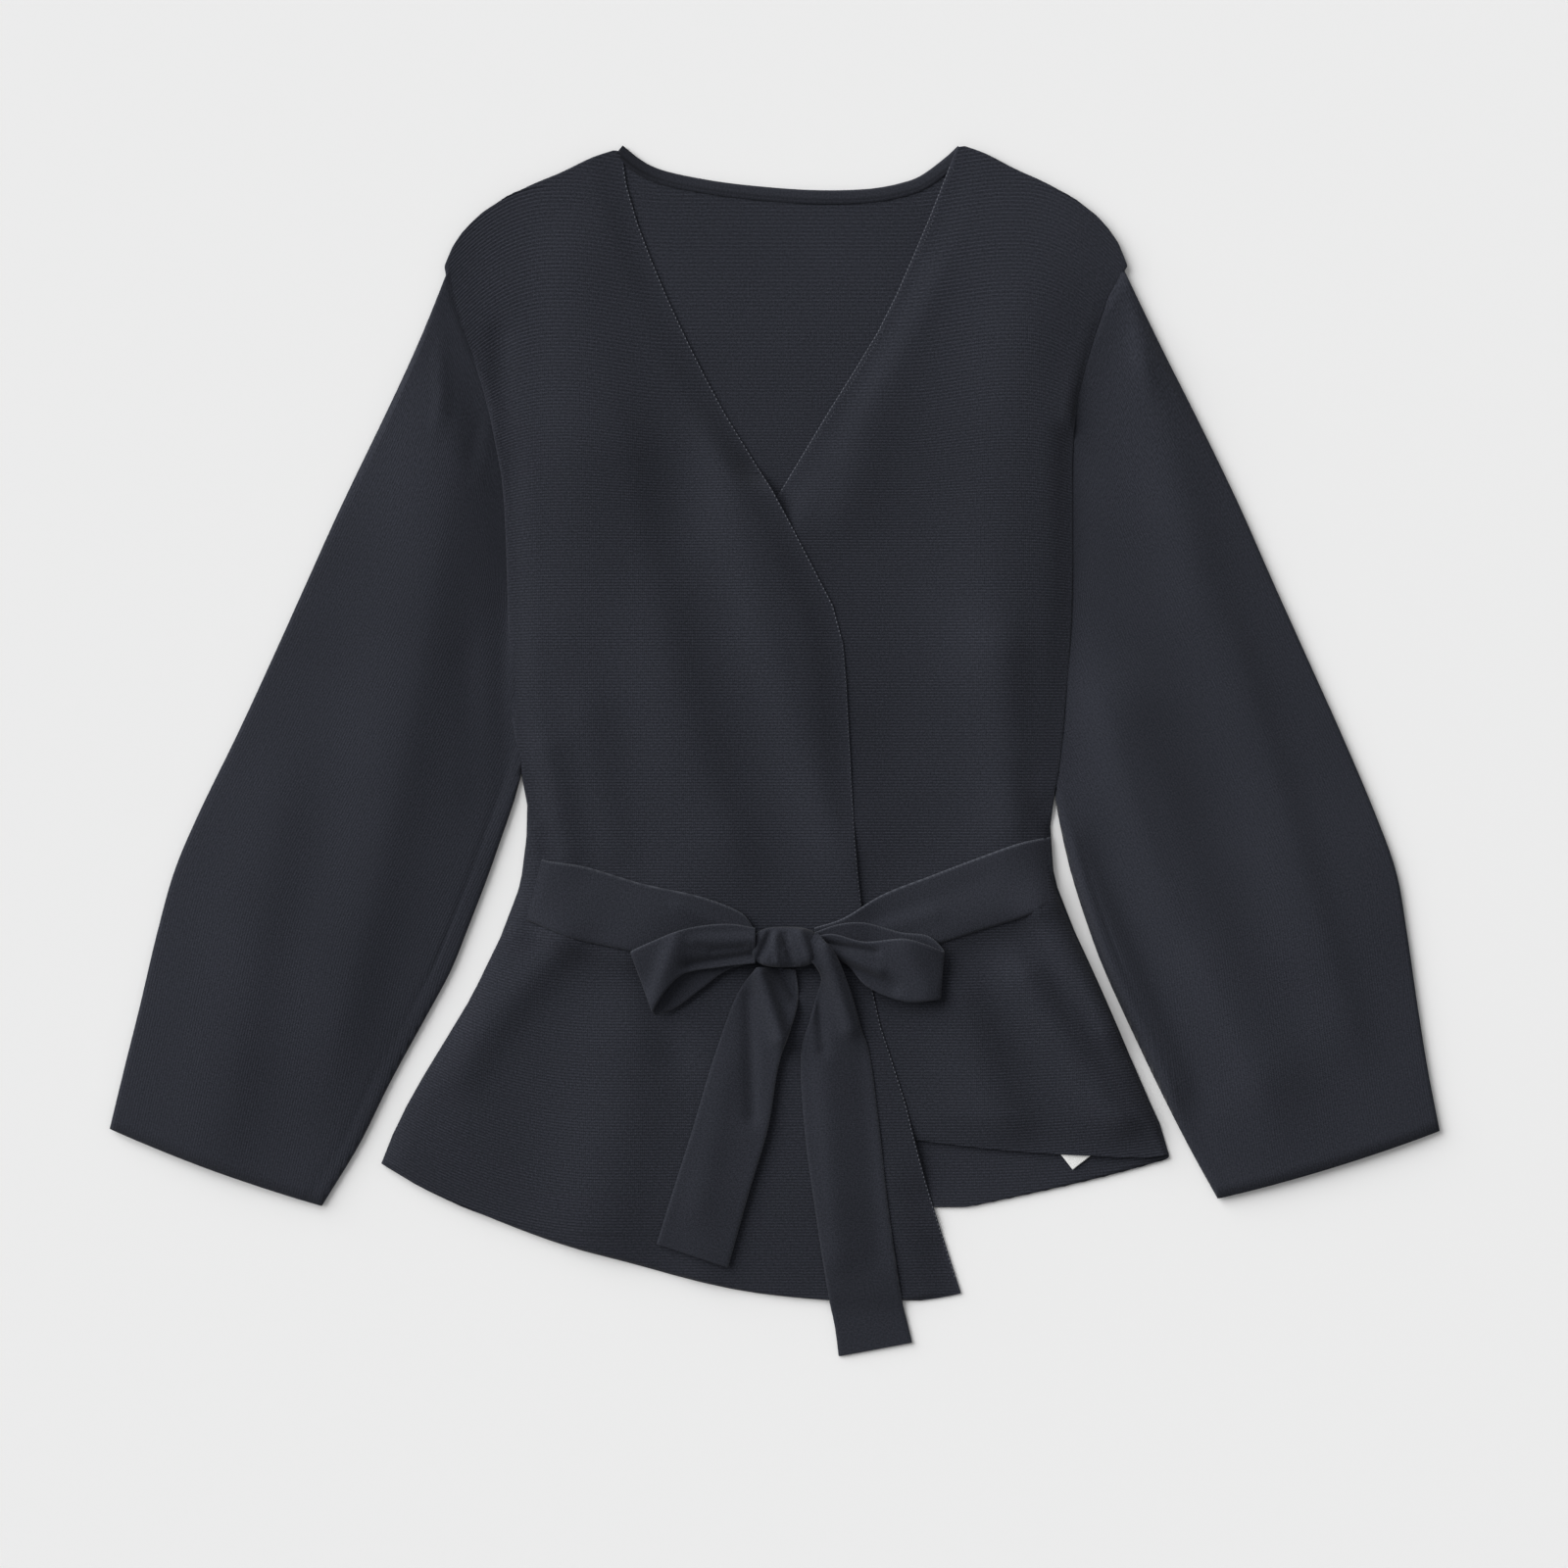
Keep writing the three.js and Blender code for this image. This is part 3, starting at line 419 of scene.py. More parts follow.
def foldRelief(folds, x, y):
    relief = np.zeros_like(x)
    for fold in folds:
        runX = fold["x1"] - fold["x0"]
        runY = fold["y1"] - fold["y0"]
        length = math.hypot(runX, runY)
        along = ((x - fold["x0"]) * runX + (y - fold["y0"]) * runY) / length
        across = ((x - fold["x0"]) * -runY + (y - fold["y0"]) * runX) / length
        share = np.clip(along / length, 0, 1)
        across = across - fold.get("bend", 0) * 4 * share * (1 - share)
        width = np.where(across > 0, fold["right"], fold["left"])
        fade = foldEnds * (fold["left"] + fold["right"])
        past = np.maximum(np.maximum(-along, along - length), 0) / fade
        relief += foldStrength * fold["height"] * np.exp(-((across / width) ** 2) - past ** 2)
    return relief


maps = {name: heightMap(name) for name in ("front_right", "front_left", "sleeve_right", "sleeve_left")}

print("stage: body panels")


def finishPiece(name, mesh, look):
    mesh.shade_smooth()
    mesh.materials.append(materials[look])
    return addObject(name, mesh)


def shapedPiece(name, look, bm, uvAt):
    # A piece that was shaped in a bmesh, with UV places worked out in millimetres
    uvLayer = bm.loops.layers.uv.new("knit")
    for face in bm.faces:
        for loop in face.loops:
            loop[uvLayer].uv = uvAt(loop.vert.co / mm)
    mesh = bpy.data.meshes.new(name)
    bm.to_mesh(mesh)
    bm.free()
    return finishPiece(name, mesh, look)


def clothObject(name, look, x, y, z, u, v, paintedHighlight=None, paintedShade=None, weld=False):
    # A grid of rows and columns, moved to its place, with its UV map in millimetres
    rows, columns = x.shape
    bm = bmesh.new()
    bmesh.ops.create_grid(bm, x_segments=columns - 1, y_segments=rows - 1, size=0.5)
    mesh = bpy.data.meshes.new(name)
    bm.to_mesh(mesh)
    bm.free()
    flat = np.empty(len(mesh.vertices) * 3)
    mesh.vertices.foreach_get("co", flat)
    flat = flat.reshape(-1, 3)
    column = np.rint((flat[:, 0] + 0.5) * (columns - 1)).astype(int)
    row = np.rint((flat[:, 1] + 0.5) * (rows - 1)).astype(int)
    places = np.stack([x[row, column], y[row, column], z[row, column]], axis=1) * mm
    mesh.vertices.foreach_set("co", places.ravel())
    corner = np.empty(len(mesh.loops), dtype=np.int32)
    mesh.loops.foreach_get("vertex_index", corner)
    uvMap = mesh.uv_layers.new(name="knit")
    uvs = np.stack([u[row, column], v[row, column]], axis=1)[corner]
    uvMap.data.foreach_set("uv", uvs.ravel())
    # Shares of painted highlight and painted shade at each point
    for attribute, values in (("paintedHighlight", paintedHighlight), ("paintedShade", paintedShade)):
        layer = mesh.attributes.new(attribute, "FLOAT", "POINT")
        if values is not None:
            layer.data.foreach_set("value", np.ascontiguousarray(values[row, column], dtype=np.float32))
    if weld:
        bm = bmesh.new()
        bm.from_mesh(mesh)
        bmesh.ops.remove_doubles(bm, verts=bm.verts, dist=0.01 * mm)
        bmesh.ops.recalc_face_normals(bm, faces=bm.faces)
        bm.to_mesh(mesh)
        bm.free()
    return finishPiece(name, mesh, look)


def thicken(piece, thickness):
    modifier = piece.modifiers.new("clothThickness", "SOLIDIFY")
    modifier.thickness = thickness * mm
    modifier.offset = -1


ribs = {
    "pitch": 1.9, "shoulderPitch": 2.5, "shoulderFrom": 170, "shoulderTo": 300,
    # The last two numbers on the next line are how strongly painted shade darkens the rib grooves, on the
    # body and on the shoulders
    "depth": 0.32, "shoulderDepth": 0.6, "rowsPerRib": 3, "paintedShade": 0.6, "shoulderPaintedShade": 0.25,
    # Rows fall towards the armholes, a little to the V edges too, and rise to the skirt's sides.
    # Pairs are for the wearer's right and left; starts and fades are heights on the body.
    "armFrom": (142, 156), "armBend": 0.0083, "armStart": 40, "armFade": 250,
    "neckFrom": (136, 150), "neckDrop": 7, "neckWidth": 70, "neckStart": 120, "neckFade": 120,
    "skirtFrom": 110, "skirtBend": (0.0022, 0.0005), "skirtStart": -70, "skirtFade": 90,
    "plainStep": 9, "overrun": 60, "edgeSteps": (0.5, 1.4, 3.4), "fullWidth": 30,
    "valley": -0.67, "crest": 0.33, "paintedShadeFade": 2,
}


def courseY(x, course):
    # Height of one knitted row, which is level only in the middle of the body
    reach = np.abs(x)
    armFrom, neckFrom, bend = (np.where(x < 0, *ribs[pair]) for pair in ("armFrom", "neckFrom", "skirtBend"))
    upper = smooth((course - ribs["armStart"]) / ribs["armFade"])
    arm = ribs["armBend"] * np.maximum(reach - armFrom, 0) ** 2 * upper
    middle = smooth((neckFrom - reach) / ribs["neckWidth"])
    neck = ribs["neckDrop"] * middle * smooth((course - ribs["neckStart"]) / ribs["neckFade"])
    lower = smooth((ribs["skirtStart"] - course) / ribs["skirtFade"])
    return course - arm - neck + bend * np.maximum(reach - ribs["skirtFrom"], 0) ** 2 * lower


def byShoulder(course, plain, shoulder):
    # A value that changes from the body's ribs to the broader ones of the shoulders
    share = smooth((course - ribs["shoulderFrom"]) / (ribs["shoulderTo"] - ribs["shoulderFrom"]))
    return ribs[plain] + share * (ribs[shoulder] - ribs[plain])


def panelSpans(name, sliceStep=1.5, scanStep=5.0):
    # The ends of each knitted row, found on the plan of the solid
    tree = solidTree(name)
    low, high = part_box(name)
    lowX, highX = low[0] / mm + 0.02, high[0] / mm - 0.02
    scan = np.append(np.arange(lowX, highX, scanStep), highX)

    def inside(x, course):
        return topAt(tree, x, float(courseY(np.array(x), np.array(course)))) is not None

    def edge(outX, inX, course):
        for halving in range(12):
            middle = (outX + inX) / 2
            if inside(middle, course):
                inX = middle
            else:
                outX = middle
        return inX

    spans = []
    for course in np.arange(low[1] / mm - ribs["overrun"], high[1] / mm + ribs["overrun"], sliceStep):
        found = [x for x in scan if inside(x, course)]
        if not found:
            continue
        start = found[0] if found[0] == scan[0] else edge(found[0] - scanStep, found[0], course)
        end = found[-1] if found[-1] == scan[-1] else edge(found[-1] + scanStep, found[-1], course)
        spans.append({"course": course, "start": start, "end": end})
    return spans


def courseRows(lowest, highest, plainZones=()):
    # Rows of the mesh, three to a rib, with few where the cloth is hidden
    rows = []
    phases = []
    course = lowest
    phase = 0
    while course < highest:
        rows.append(course)
        hidden = any(zone["from"] < course < zone["to"] for zone in plainZones)
        phases.append(-1 if hidden else phase % ribs["rowsPerRib"])
        if hidden:
            course += ribs["plainStep"]
            continue
        course += float(byShoulder(course, "pitch", "shoulderPitch")) / ribs["rowsPerRib"]
        phase += 1
    return np.array(rows), np.array(phases)


def spread(values, like):
    # One value for each row, on all columns
    return np.repeat(values[:, None], like.shape[1], axis=1)


def knitRows(spans, plainZones=()):
    courses = [span["course"] for span in spans]
    rows, phases = courseRows(courses[0], courses[-1], plainZones)
    start, end = (np.interp(rows, courses, [span[side] for span in spans]) for side in ("start", "end"))
    return rows, phases, start, end


def columnPlaces(start, end, columns):
    # Even columns, with close ones for the rolled edges
    width = (end - start)[:, None]
    steps = np.array(ribs["edgeSteps"]) * np.minimum(1, width / ribs["fullWidth"])
    inner = np.linspace(0, 1, columns - 2 * len(ribs["edgeSteps"]))
    firstEdge = start[:, None] + np.concatenate([np.zeros_like(width), steps], axis=1)
    lastEdge = end[:, None] - np.concatenate([steps[:, ::-1], np.zeros_like(width)], axis=1)
    between = firstEdge[:, -1:] + (lastEdge[:, :1] - firstEdge[:, -1:]) * inner[None, 1:-1]
    return np.concatenate([firstEdge, between, lastEdge], axis=1)


def ribWave(course, phases):
    # A narrow groove between broad ribs
    shape = np.where(phases == 0, ribs["valley"], ribs["crest"]) * (phases >= 0)
    return byShoulder(course, "depth", "shoulderDepth") * shape


# Painted shade: darkens the colour of each rib's groove row, less on the shoulders, and fades it out near the
# edges
def paintedGrooveShade(course, phases, fromEdge):
    share = byShoulder(course, "paintedShade", "shoulderPaintedShade")
    return share * (phases == 0) * smooth(fromEdge / ribs["paintedShadeFade"])


# Each side of a front rests "over" the layer below, and is laid down from "reach" inwards
panels = {
    "front_right": {
        "columns": 40, "seam": "start", "free": "end", "flatFree": 0.75,
        "laysOn": ("front_left", "back", "sleeve_right"),
        "start": {"over": 1.0, "reach": 7}, "end": {"over": 1.1, "reach": 24},
    },
    "front_left": {
        "columns": 36, "seam": "end", "free": "start", "flatFree": 0,
        "laysOn": ("back", "sleeve_left"),
        "start": {"over": 2.0, "reach": 26}, "end": {"over": 1.0, "reach": 4},
    },
}
# How the fronts lie: rolled edges, and what an edge does on the layer below it
cloth = {
    "thickness": 1.2, "lift": 0.3, "roll": 0.6, "rollWidth": 1.6, "offFloor": 0.02,
    "hemAt": -380, "hemFade": 30, "ribFade": 2.5, "overlap": 0.5,
    "laidFrom": 1.5, "laidAbove": 3.5, "pressed": 0.3, "blur": 22, "onSleeve": 11,
}
overBelt = {"y": -60, "fade": 20}                     # from here up the free edge is pressed flat
# Where the fronts' sides lie on the sleeves, and where they are sewn to them above
sleeveZone = {"from": -50, "rise": 12, "to": 219, "fade": 26, "sewnFrom": 198, "sewn": 14}
# A sewn edge's height above the floor, from the skirt's corner up
seam = {"side": 1.35, "armhole": 4.7, "armholeFrom": 60, "from": -262, "width": 3.4}
# How far a sleeve sinks beside the body
trough = {"sleeve_right": 2.4, "sleeve_left": 0.6, "width": 13, "from": -66, "fade": 40, "to": 230, "end": 70}
# The left front's hem, which lies low with a soft lift, and its hidden edge above it
hem = {
    "y": -246, "fade": 30, "height": 3.9, "liftAt": 206, "liftWidth": 26, "lift": 1.2,
    "edgeStep": 5, "freeFrom": -258, "freeFade": 12,
}
back = {
    "top": 1.7, "hidden": ({"from": -236, "to": 140},), "ribShare": 0.8, "neckFade": 2,
    "outer": 7, "neck": 26, "neckStart": -96, "neckEnd": 116.2, "sky": 400, "from": -100, "to": 120,
}


def troughShare(y):
    return smooth((y - trough["from"]) / trough["fade"]) * smooth((trough["to"] - y) / trough["end"])


def layerTop(name, tree, x, y):
    # Dressed height of the layer under an edge
    top = topAt(tree, x, y)
    if top is None:
        return 0
    if name == "back":
        return back["top"]
    spot = (np.array([x]), np.array([y]))
    if name == "front_left":
        return top + cloth["lift"] + foldRelief(frontFolds, *spot)[0]
    return top + foldRelief(sleeveFolds, *spot)[0] - trough[name] * float(troughShare(y))


def edgeRest(name, x, y, inward):
    # What each row's end would lie at, if it rested on the layers below
    trees = {layer: solidTree(layer) for layer in panels[name]["laysOn"]}
    tops = [
        max(layerTop(layer, tree, float(px) + inward, float(py)) for layer, tree in trees.items())
        for px, py in zip(x, y)
    ]
    width = cloth["blur"]
    highest = [max(tops[max(0, row - width):row + width + 1]) for row in range(len(tops))]
    kernel = np.hanning(2 * width + 3)
    kernel /= kernel.sum()
    return np.convolve(np.pad(highest, width + 1, mode="edge"), kernel, mode="valid")


neckTop = table(
    "x y", (-96, 378), (-84.7, 369.5), (-72.8, 363.6), (-38.4, 356.5), (-4.7, 352.6), (22.2, 350.9),
    (45.9, 350.8), (64.7, 352), (80.3, 355), (92.2, 359), (110.3, 371), (116.2, 377),
)


def neckCeiling(x):
    # Top of the back panel, between the two neck points
    return np.interp(x, [point["x"] for point in neckTop], [point["y"] for point in neckTop])


freeEdges = {}


def bodyPanel(name):
    settings = panels[name]
    rows, phases, start, end = knitRows(panelSpans(name))
    if name == "front_left":
        for row in range(1, len(rows)):        # its hidden edge moves in step by step above the hem
            start[row] = max(start[row], start[row - 1] - hem["edgeStep"])
    x = columnPlaces(start, end, settings["columns"])
    course = spread(rows, x)
    phase = spread(phases, x)
    y = courseY(x, course)
    sideY = y[:, :1]
    folds = foldRelief(frontFolds, x, y) * smooth((y - cloth["hemAt"]) / cloth["hemFade"])
    z = readMap(maps[name], x, y) + (folds + cloth["lift"])
    away = {"start": x - start[:, None], "end": end[:, None] - x}
    nearEdge = np.minimum(away["start"], away["end"])
    pressed = smooth((rows - overBelt["y"]) / overBelt["fade"])
    for side, column, inward in (("start", 0, 1), ("end", -1, -1)):
        sewnSide = side == settings["seam"]
        ground = edgeRest(name, x[:, column], y[:, column], cloth["laidFrom"] * inward)
        over = settings[side]["over"]
        covered = pressed * (not sewnSide)
        over = np.where(ground > cloth["laidAbove"], over - covered * (over - cloth["pressed"]), over)
        target = (ground + over)[:, None]
        onSleeve = smooth((sideY - sleeveZone["from"]) / sleeveZone["rise"]) * sewnSide
        sewnOn = smooth((sideY - sleeveZone["sewnFrom"]) / sleeveZone["sewn"]) * sewnSide
        reach = settings[side]["reach"] + cloth["onSleeve"] * onSleeve
        near = smooth(1 - away[side] / reach) * (1 - sewnOn)
        if name == "front_left" and side == "start":
            near = near * smooth((sideY - hem["freeFrom"]) / hem["freeFade"])
        z = z * (1 - near) + np.minimum(target, z) * near
    if name == "front_left":
        lift = hem["lift"] * np.exp(-(((x - hem["liftAt"]) / hem["liftWidth"]) ** 2))
        low = smooth((hem["y"] + hem["fade"] / 2 - y) / hem["fade"])
        z = z * (1 - low) + np.minimum(hem["height"] + lift, z) * low
    onFree = away[settings["free"]] < away[settings["seam"]]
    flat = settings["flatFree"] * pressed[:, None] * onFree
    z -= cloth["roll"] * (1 - flat) * (1 - np.clip(nearEdge / cloth["rollWidth"], 0, 1)) ** 2
    low = smooth((y - sleeveZone["from"]) / sleeveZone["rise"])
    overSleeve = low * smooth((sleeveZone["to"] - y) / sleeveZone["fade"])
    drop = smooth(1 - away[settings["seam"]] / seam["width"]) * ((y > seam["from"]) * (1 - overSleeve))
    sewnAt = np.where(y > seam["armholeFrom"], seam["armhole"], seam["side"])
    z = z * (1 - drop) + np.minimum(sewnAt, z) * drop
    z += ribWave(course, phase) * smooth(nearEdge / cloth["ribFade"])
    z = np.maximum(z, cloth["thickness"] + cloth["offFloor"])
    # Painted shade in the rib grooves
    paintedShade = paintedGrooveShade(course, phase, nearEdge)
    piece = clothObject(name + "_knit", "rib_knit", x, y, z, x, course, paintedShade=paintedShade)
    thicken(piece, cloth["thickness"])
    column, inward = (-1, -1) if settings["free"] == "end" else (0, 1)
    edge = (x[:, column] + cloth["overlap"] * inward, y[:, column], z[:, column + inward])
    freeEdges[name] = np.stack(edge, axis=1)
    return piece


def backPanel():
    spans = [span for span in panelSpans("back") if span["start"] < back["from"] and span["end"] > back["to"]]
    rows, phases, start, end = knitRows(spans, back["hidden"])
    outer = np.linspace(0, 1, back["outer"])
    neck = np.linspace(back["neckStart"], back["neckEnd"], back["neck"])
    rightPart = start[:, None] + (neck[0] - start[:, None]) * outer[None, :-1]
    leftPart = neck[-1] + (end[:, None] - neck[-1]) * outer[None, 1:]
    neckPart = np.repeat(neck[None, :], len(rows), axis=0)
    x = np.concatenate([rightPart, neckPart, leftPart], axis=1)
    course = spread(rows, x)
    phase = spread(phases, x)
    ceiling = np.where((x >= neck[0]) & (x <= neck[-1]), neckCeiling(x), back["sky"])
    y = np.minimum(courseY(x, course), ceiling)
    below = ceiling - y
    relief = back["ribShare"] * ribWave(course, phase) * smooth(below / back["neckFade"])
    z = np.full_like(x, back["top"]) + relief
    # Painted shade in the rib grooves
    paintedShade = paintedGrooveShade(course, phase, below)
    piece = clothObject("back_knit", "rib_knit", x, y, z, x, course, paintedShade=paintedShade, weld=True)
    thicken(piece, cloth["thickness"])
    return piece


body = {name: bodyPanel(name) for name in panels}
body["back"] = backPanel()

print("stage: sleeves")

sleeves = {
    "sleeve_right": {
        "outward": -1, "front": "front_right",
        "sections": table(
            sleeveColumns,
            (-210.9, 309.1, -164, 112),
            (-230.3, 259.7, -163.8, 104),
            (-252.2, 209.7, -163.6, 95),
            (-275.3, 159.7, -163.3, 78),
            (-297.8, 109.7, -162.8, 40),
            (-320.3, 59.7, -160, -5),
            (-343.4, 9.7, -178, -66),
            (-367.8, -40.3, -197.6, -118),
            (-383.2, -76.6, -206.6, -140.3),
            (-394.1, -115.3, -221.4, -168),
            (-405.9, -165.3, -245, -211),
            (-415.6, -204, -265.4, -252),
            (-424.7, -241.6, -289.1, -290.9),
        ),
    },
    "sleeve_left": {
        "outward": 1, "front": "front_left",
        "sections": table(
            sleeveColumns,
            (225.3, 309.1, 183.5, 112),
            (248.4, 259.7, 183.4, 104),
            (272.2, 209.7, 183.2, 95),
            (295.3, 159.7, 182.8, 78),
            (317.2, 109.7, 180.6, 40),
            (339.7, 59.7, 176.5, -5),
            (362.2, 9.7, 186.6, -68),
            (383.4, -40.3, 203, -121),
            (397, -78, 211.4, -142.5),
            (403.6, -115.3, 224.5, -171.5),
            (410.9, -165.3, 246, -216.7),
            (417.3, -205, 264.4, -253),
            (424.7, -243, 282.8, -286.3),
        ),
    },
}
wales = {
    "pitch": 1.6, "perWale": 3, "depth": 0.24, "rows": 56, "underside": 14,
    "edgeHeight": 2.2, "roll": 3.2, "waleFade": 3, "foldFade": 6, "foldStart": 0.06,
    "tuck": 3.0, "tuckBelow": 3.4, "tuckHigh": 217, "tuckFade": 27, "pull": 0.3, "underarm": 20,
    "seamFromInner": 11, "seamDepth": 0.55, "seamWidth": 1.6, "seamStart": 0.4, "seamFade": 0.1,
    "cuffBow": 2.5, "cuffStart": 0.8, "cuffFade": 0.2,
    "dip": 4.5, "dipEdge": 2.6, "dipWidth": 16, "dipAbove": 205, "dipFade": 20, "troughFade": 12,
}


def curveAt(points, shares):
    # Centripetal Catmull-Rom curve through points, read at shares of its length in steps
    points = np.array(points, dtype=float)
    points = np.vstack([2 * points[0] - points[1], points, 2 * points[-1] - points[-2]])
    spot = np.clip(shares, 0, 1) * (len(points) - 3)
    index = np.minimum(spot.astype(int), len(points) - 4)
    t = (spot - index)[:, None]
    p0, p1, p2, p3 = (points[index + k] for k in range(4))
    d0, d1, d2 = (
        np.maximum(np.linalg.norm(b - a, axis=1), 1e-6)[:, None] ** 0.5
        for a, b in ((p0, p1), (p1, p2), (p2, p3))
    )
    leave = ((p1 - p0) / d0 - (p2 - p0) / (d0 + d1) + (p2 - p1) / d1) * d1
    arrive = ((p2 - p1) / d1 - (p3 - p1) / (d1 + d2) + (p3 - p2) / d2) * d1
    cubic = 2 * p1 - 2 * p2 + leave + arrive
    square = -3 * p1 + 3 * p2 - 2 * leave - arrive
    return p1 + leave * t + square * t ** 2 + cubic * t ** 3


def runLength(line):
    return np.append(0, np.cumsum(np.linalg.norm(np.diff(line, axis=0), axis=1)))


def sleevePiece(name):
    settings = sleeves[name]
    outward = settings["outward"]
    along = np.linspace(0, 1, wales["rows"])
    outer = curveAt([(row["outerX"], row["outerY"]) for row in settings["sections"]], along)
    inner = curveAt([(row["innerX"], row["innerY"]) for row in settings["sections"]], along)
    width = np.linalg.norm(inner - outer, axis=1)
    step = wales["pitch"] / wales["perWale"]
    count = int(width.max() / step) + 2
    fromOuter = np.minimum(np.arange(count)[None, :] * step, width[:, None])
    phase = np.arange(count) % wales["perWale"]
    upper = fromOuter / width[:, None]
    lower = np.linspace(1, 0, wales["underside"])[None, :] * np.ones((len(along), 1))
    across = np.concatenate([upper, lower[:, 1:]], axis=1)
    onTop = np.arange(across.shape[1]) < count

    shoulderY = settings["sections"][0]["outerY"]
    underarmY = settings["sections"][0]["innerY"]
    spans = panelSpans(settings["front"])
    key = "start" if outward < 0 else "end"
    sideX = np.array([span[key] for span in spans])
    sideY = courseY(sideX, np.array([span["course"] for span in spans]))
    kept = (sideY < shoulderY) & (sideY > underarmY - wales["underarm"])
    order = np.argsort(sideY[kept])
    armholeY = shoulderY + (underarmY - shoulderY) * across
    tuck = wales["tuck"] + wales["tuckBelow"] * smooth((wales["tuckHigh"] - armholeY) / wales["tuckFade"])
    bodyX = np.interp(armholeY, sideY[kept][order], sideX[kept][order])
    armholeX = bodyX - outward * tuck
    pull = (1 - smooth(along / wales["pull"]))[:, None]

    def between(axis, rows=slice(None)):
        return outer[rows, axis, None] + (inner[rows, axis, None] - outer[rows, axis, None]) * across

    x = between(0) + (armholeX - between(0, slice(1))) * pull
    y = between(1) + (armholeY - between(1, slice(1))) * pull
    cuff = smooth((along - wales["cuffStart"]) / wales["cuffFade"])[:, None]
    y -= wales["cuffBow"] * 4 * across * (1 - across) * cuff

    fromEdge = np.minimum(across, 1 - across) * width[:, None]
    rolled = np.sqrt(np.clip(1 - (1 - np.clip(fromEdge / wales["roll"], 0, 1)) ** 2, 0, 1))
    top = readMap(maps[name], x, y)
    foldsFrom = smooth(along / wales["foldStart"])[:, None]
    top += foldRelief(sleeveFolds, x, y) * foldsFrom * smooth(fromEdge / wales["foldFade"])
    fromInner = (1 - across) * width[:, None]
    line = np.exp(-(((fromInner - wales["seamFromInner"]) / wales["seamWidth"]) ** 2))
    top -= wales["seamDepth"] * line * smooth((along - wales["seamStart"]) / wales["seamFade"])[:, None]
    upper = smooth((armholeY - wales["dipAbove"]) / wales["dipFade"])
    fromArmhole = (x - bodyX) * outward
    besideBody = np.interp(y, sideY[kept][order], sideX[kept][order])
    valley = np.exp(-((np.maximum((x - besideBody) * outward, 0) / trough["width"]) ** 2))
    top -= trough[name] * valley * troughShare(y) * smooth(fromEdge / wales["troughFade"])
    dip = smooth(1 - fromArmhole / wales["dipWidth"]) * upper * (along < wales["pull"])[:, None]
    top = top * (1 - dip) + wales["dip"] * dip
    wave = np.where(phase == 0, ribs["valley"], ribs["crest"])
    wave = np.concatenate([wave, np.zeros(across.shape[1] - count)])
    top += wales["depth"] * wave[None, :] * smooth(fromEdge / wales["waleFade"])
    middle = wales["edgeHeight"] * (1 - dip) + wales["dipEdge"] * dip
    under = middle * (1 - rolled) + cloth["offFloor"]
    z = np.where(onTop[None, :], middle + (top - middle) * rolled, under)
    u = np.where(onTop[None, :], across, 2 - across) * width[:, None]
    v = spread(runLength((outer + inner) / 2), across)
    if outward > 0:
        x, y, z, u, v = (values[:, ::-1] for values in (x, y, z, u, v))
    piece = clothObject(name + "_knit", "sleeve_knit", x, y, z, u, v, weld=True)
    thicken(piece, cloth["thickness"])
    return piece


arms = {name: sleevePiece(name) for name in sleeves}

print("stage: belt and bow")


lapArea = {"x0": -190, "x1": 210, "y0": -410, "y1": -30, "blur": 1.3}


def lapMap(pieces):
    # Height of whatever the belt lies on, from the dressed panels
    trees = [meshTree(piece.data) for piece in pieces]
    xs = np.arange(lapArea["x0"], lapArea["x1"], mapCell)
    ys = np.arange(lapArea["y0"], lapArea["y1"], mapCell)
    z = np.zeros((len(ys), len(xs)))
    for row, y in enumerate(ys):
        for column, x in enumerate(xs):
            tops = [topAt(tree, x, y) for tree in trees]
            z[row, column] = max([top for top in tops if top is not None], default=0)
    return {"x0": xs[0], "y0": ys[0], "z": blurred(z, lapArea["blur"])}


lap = lapMap(body.values())

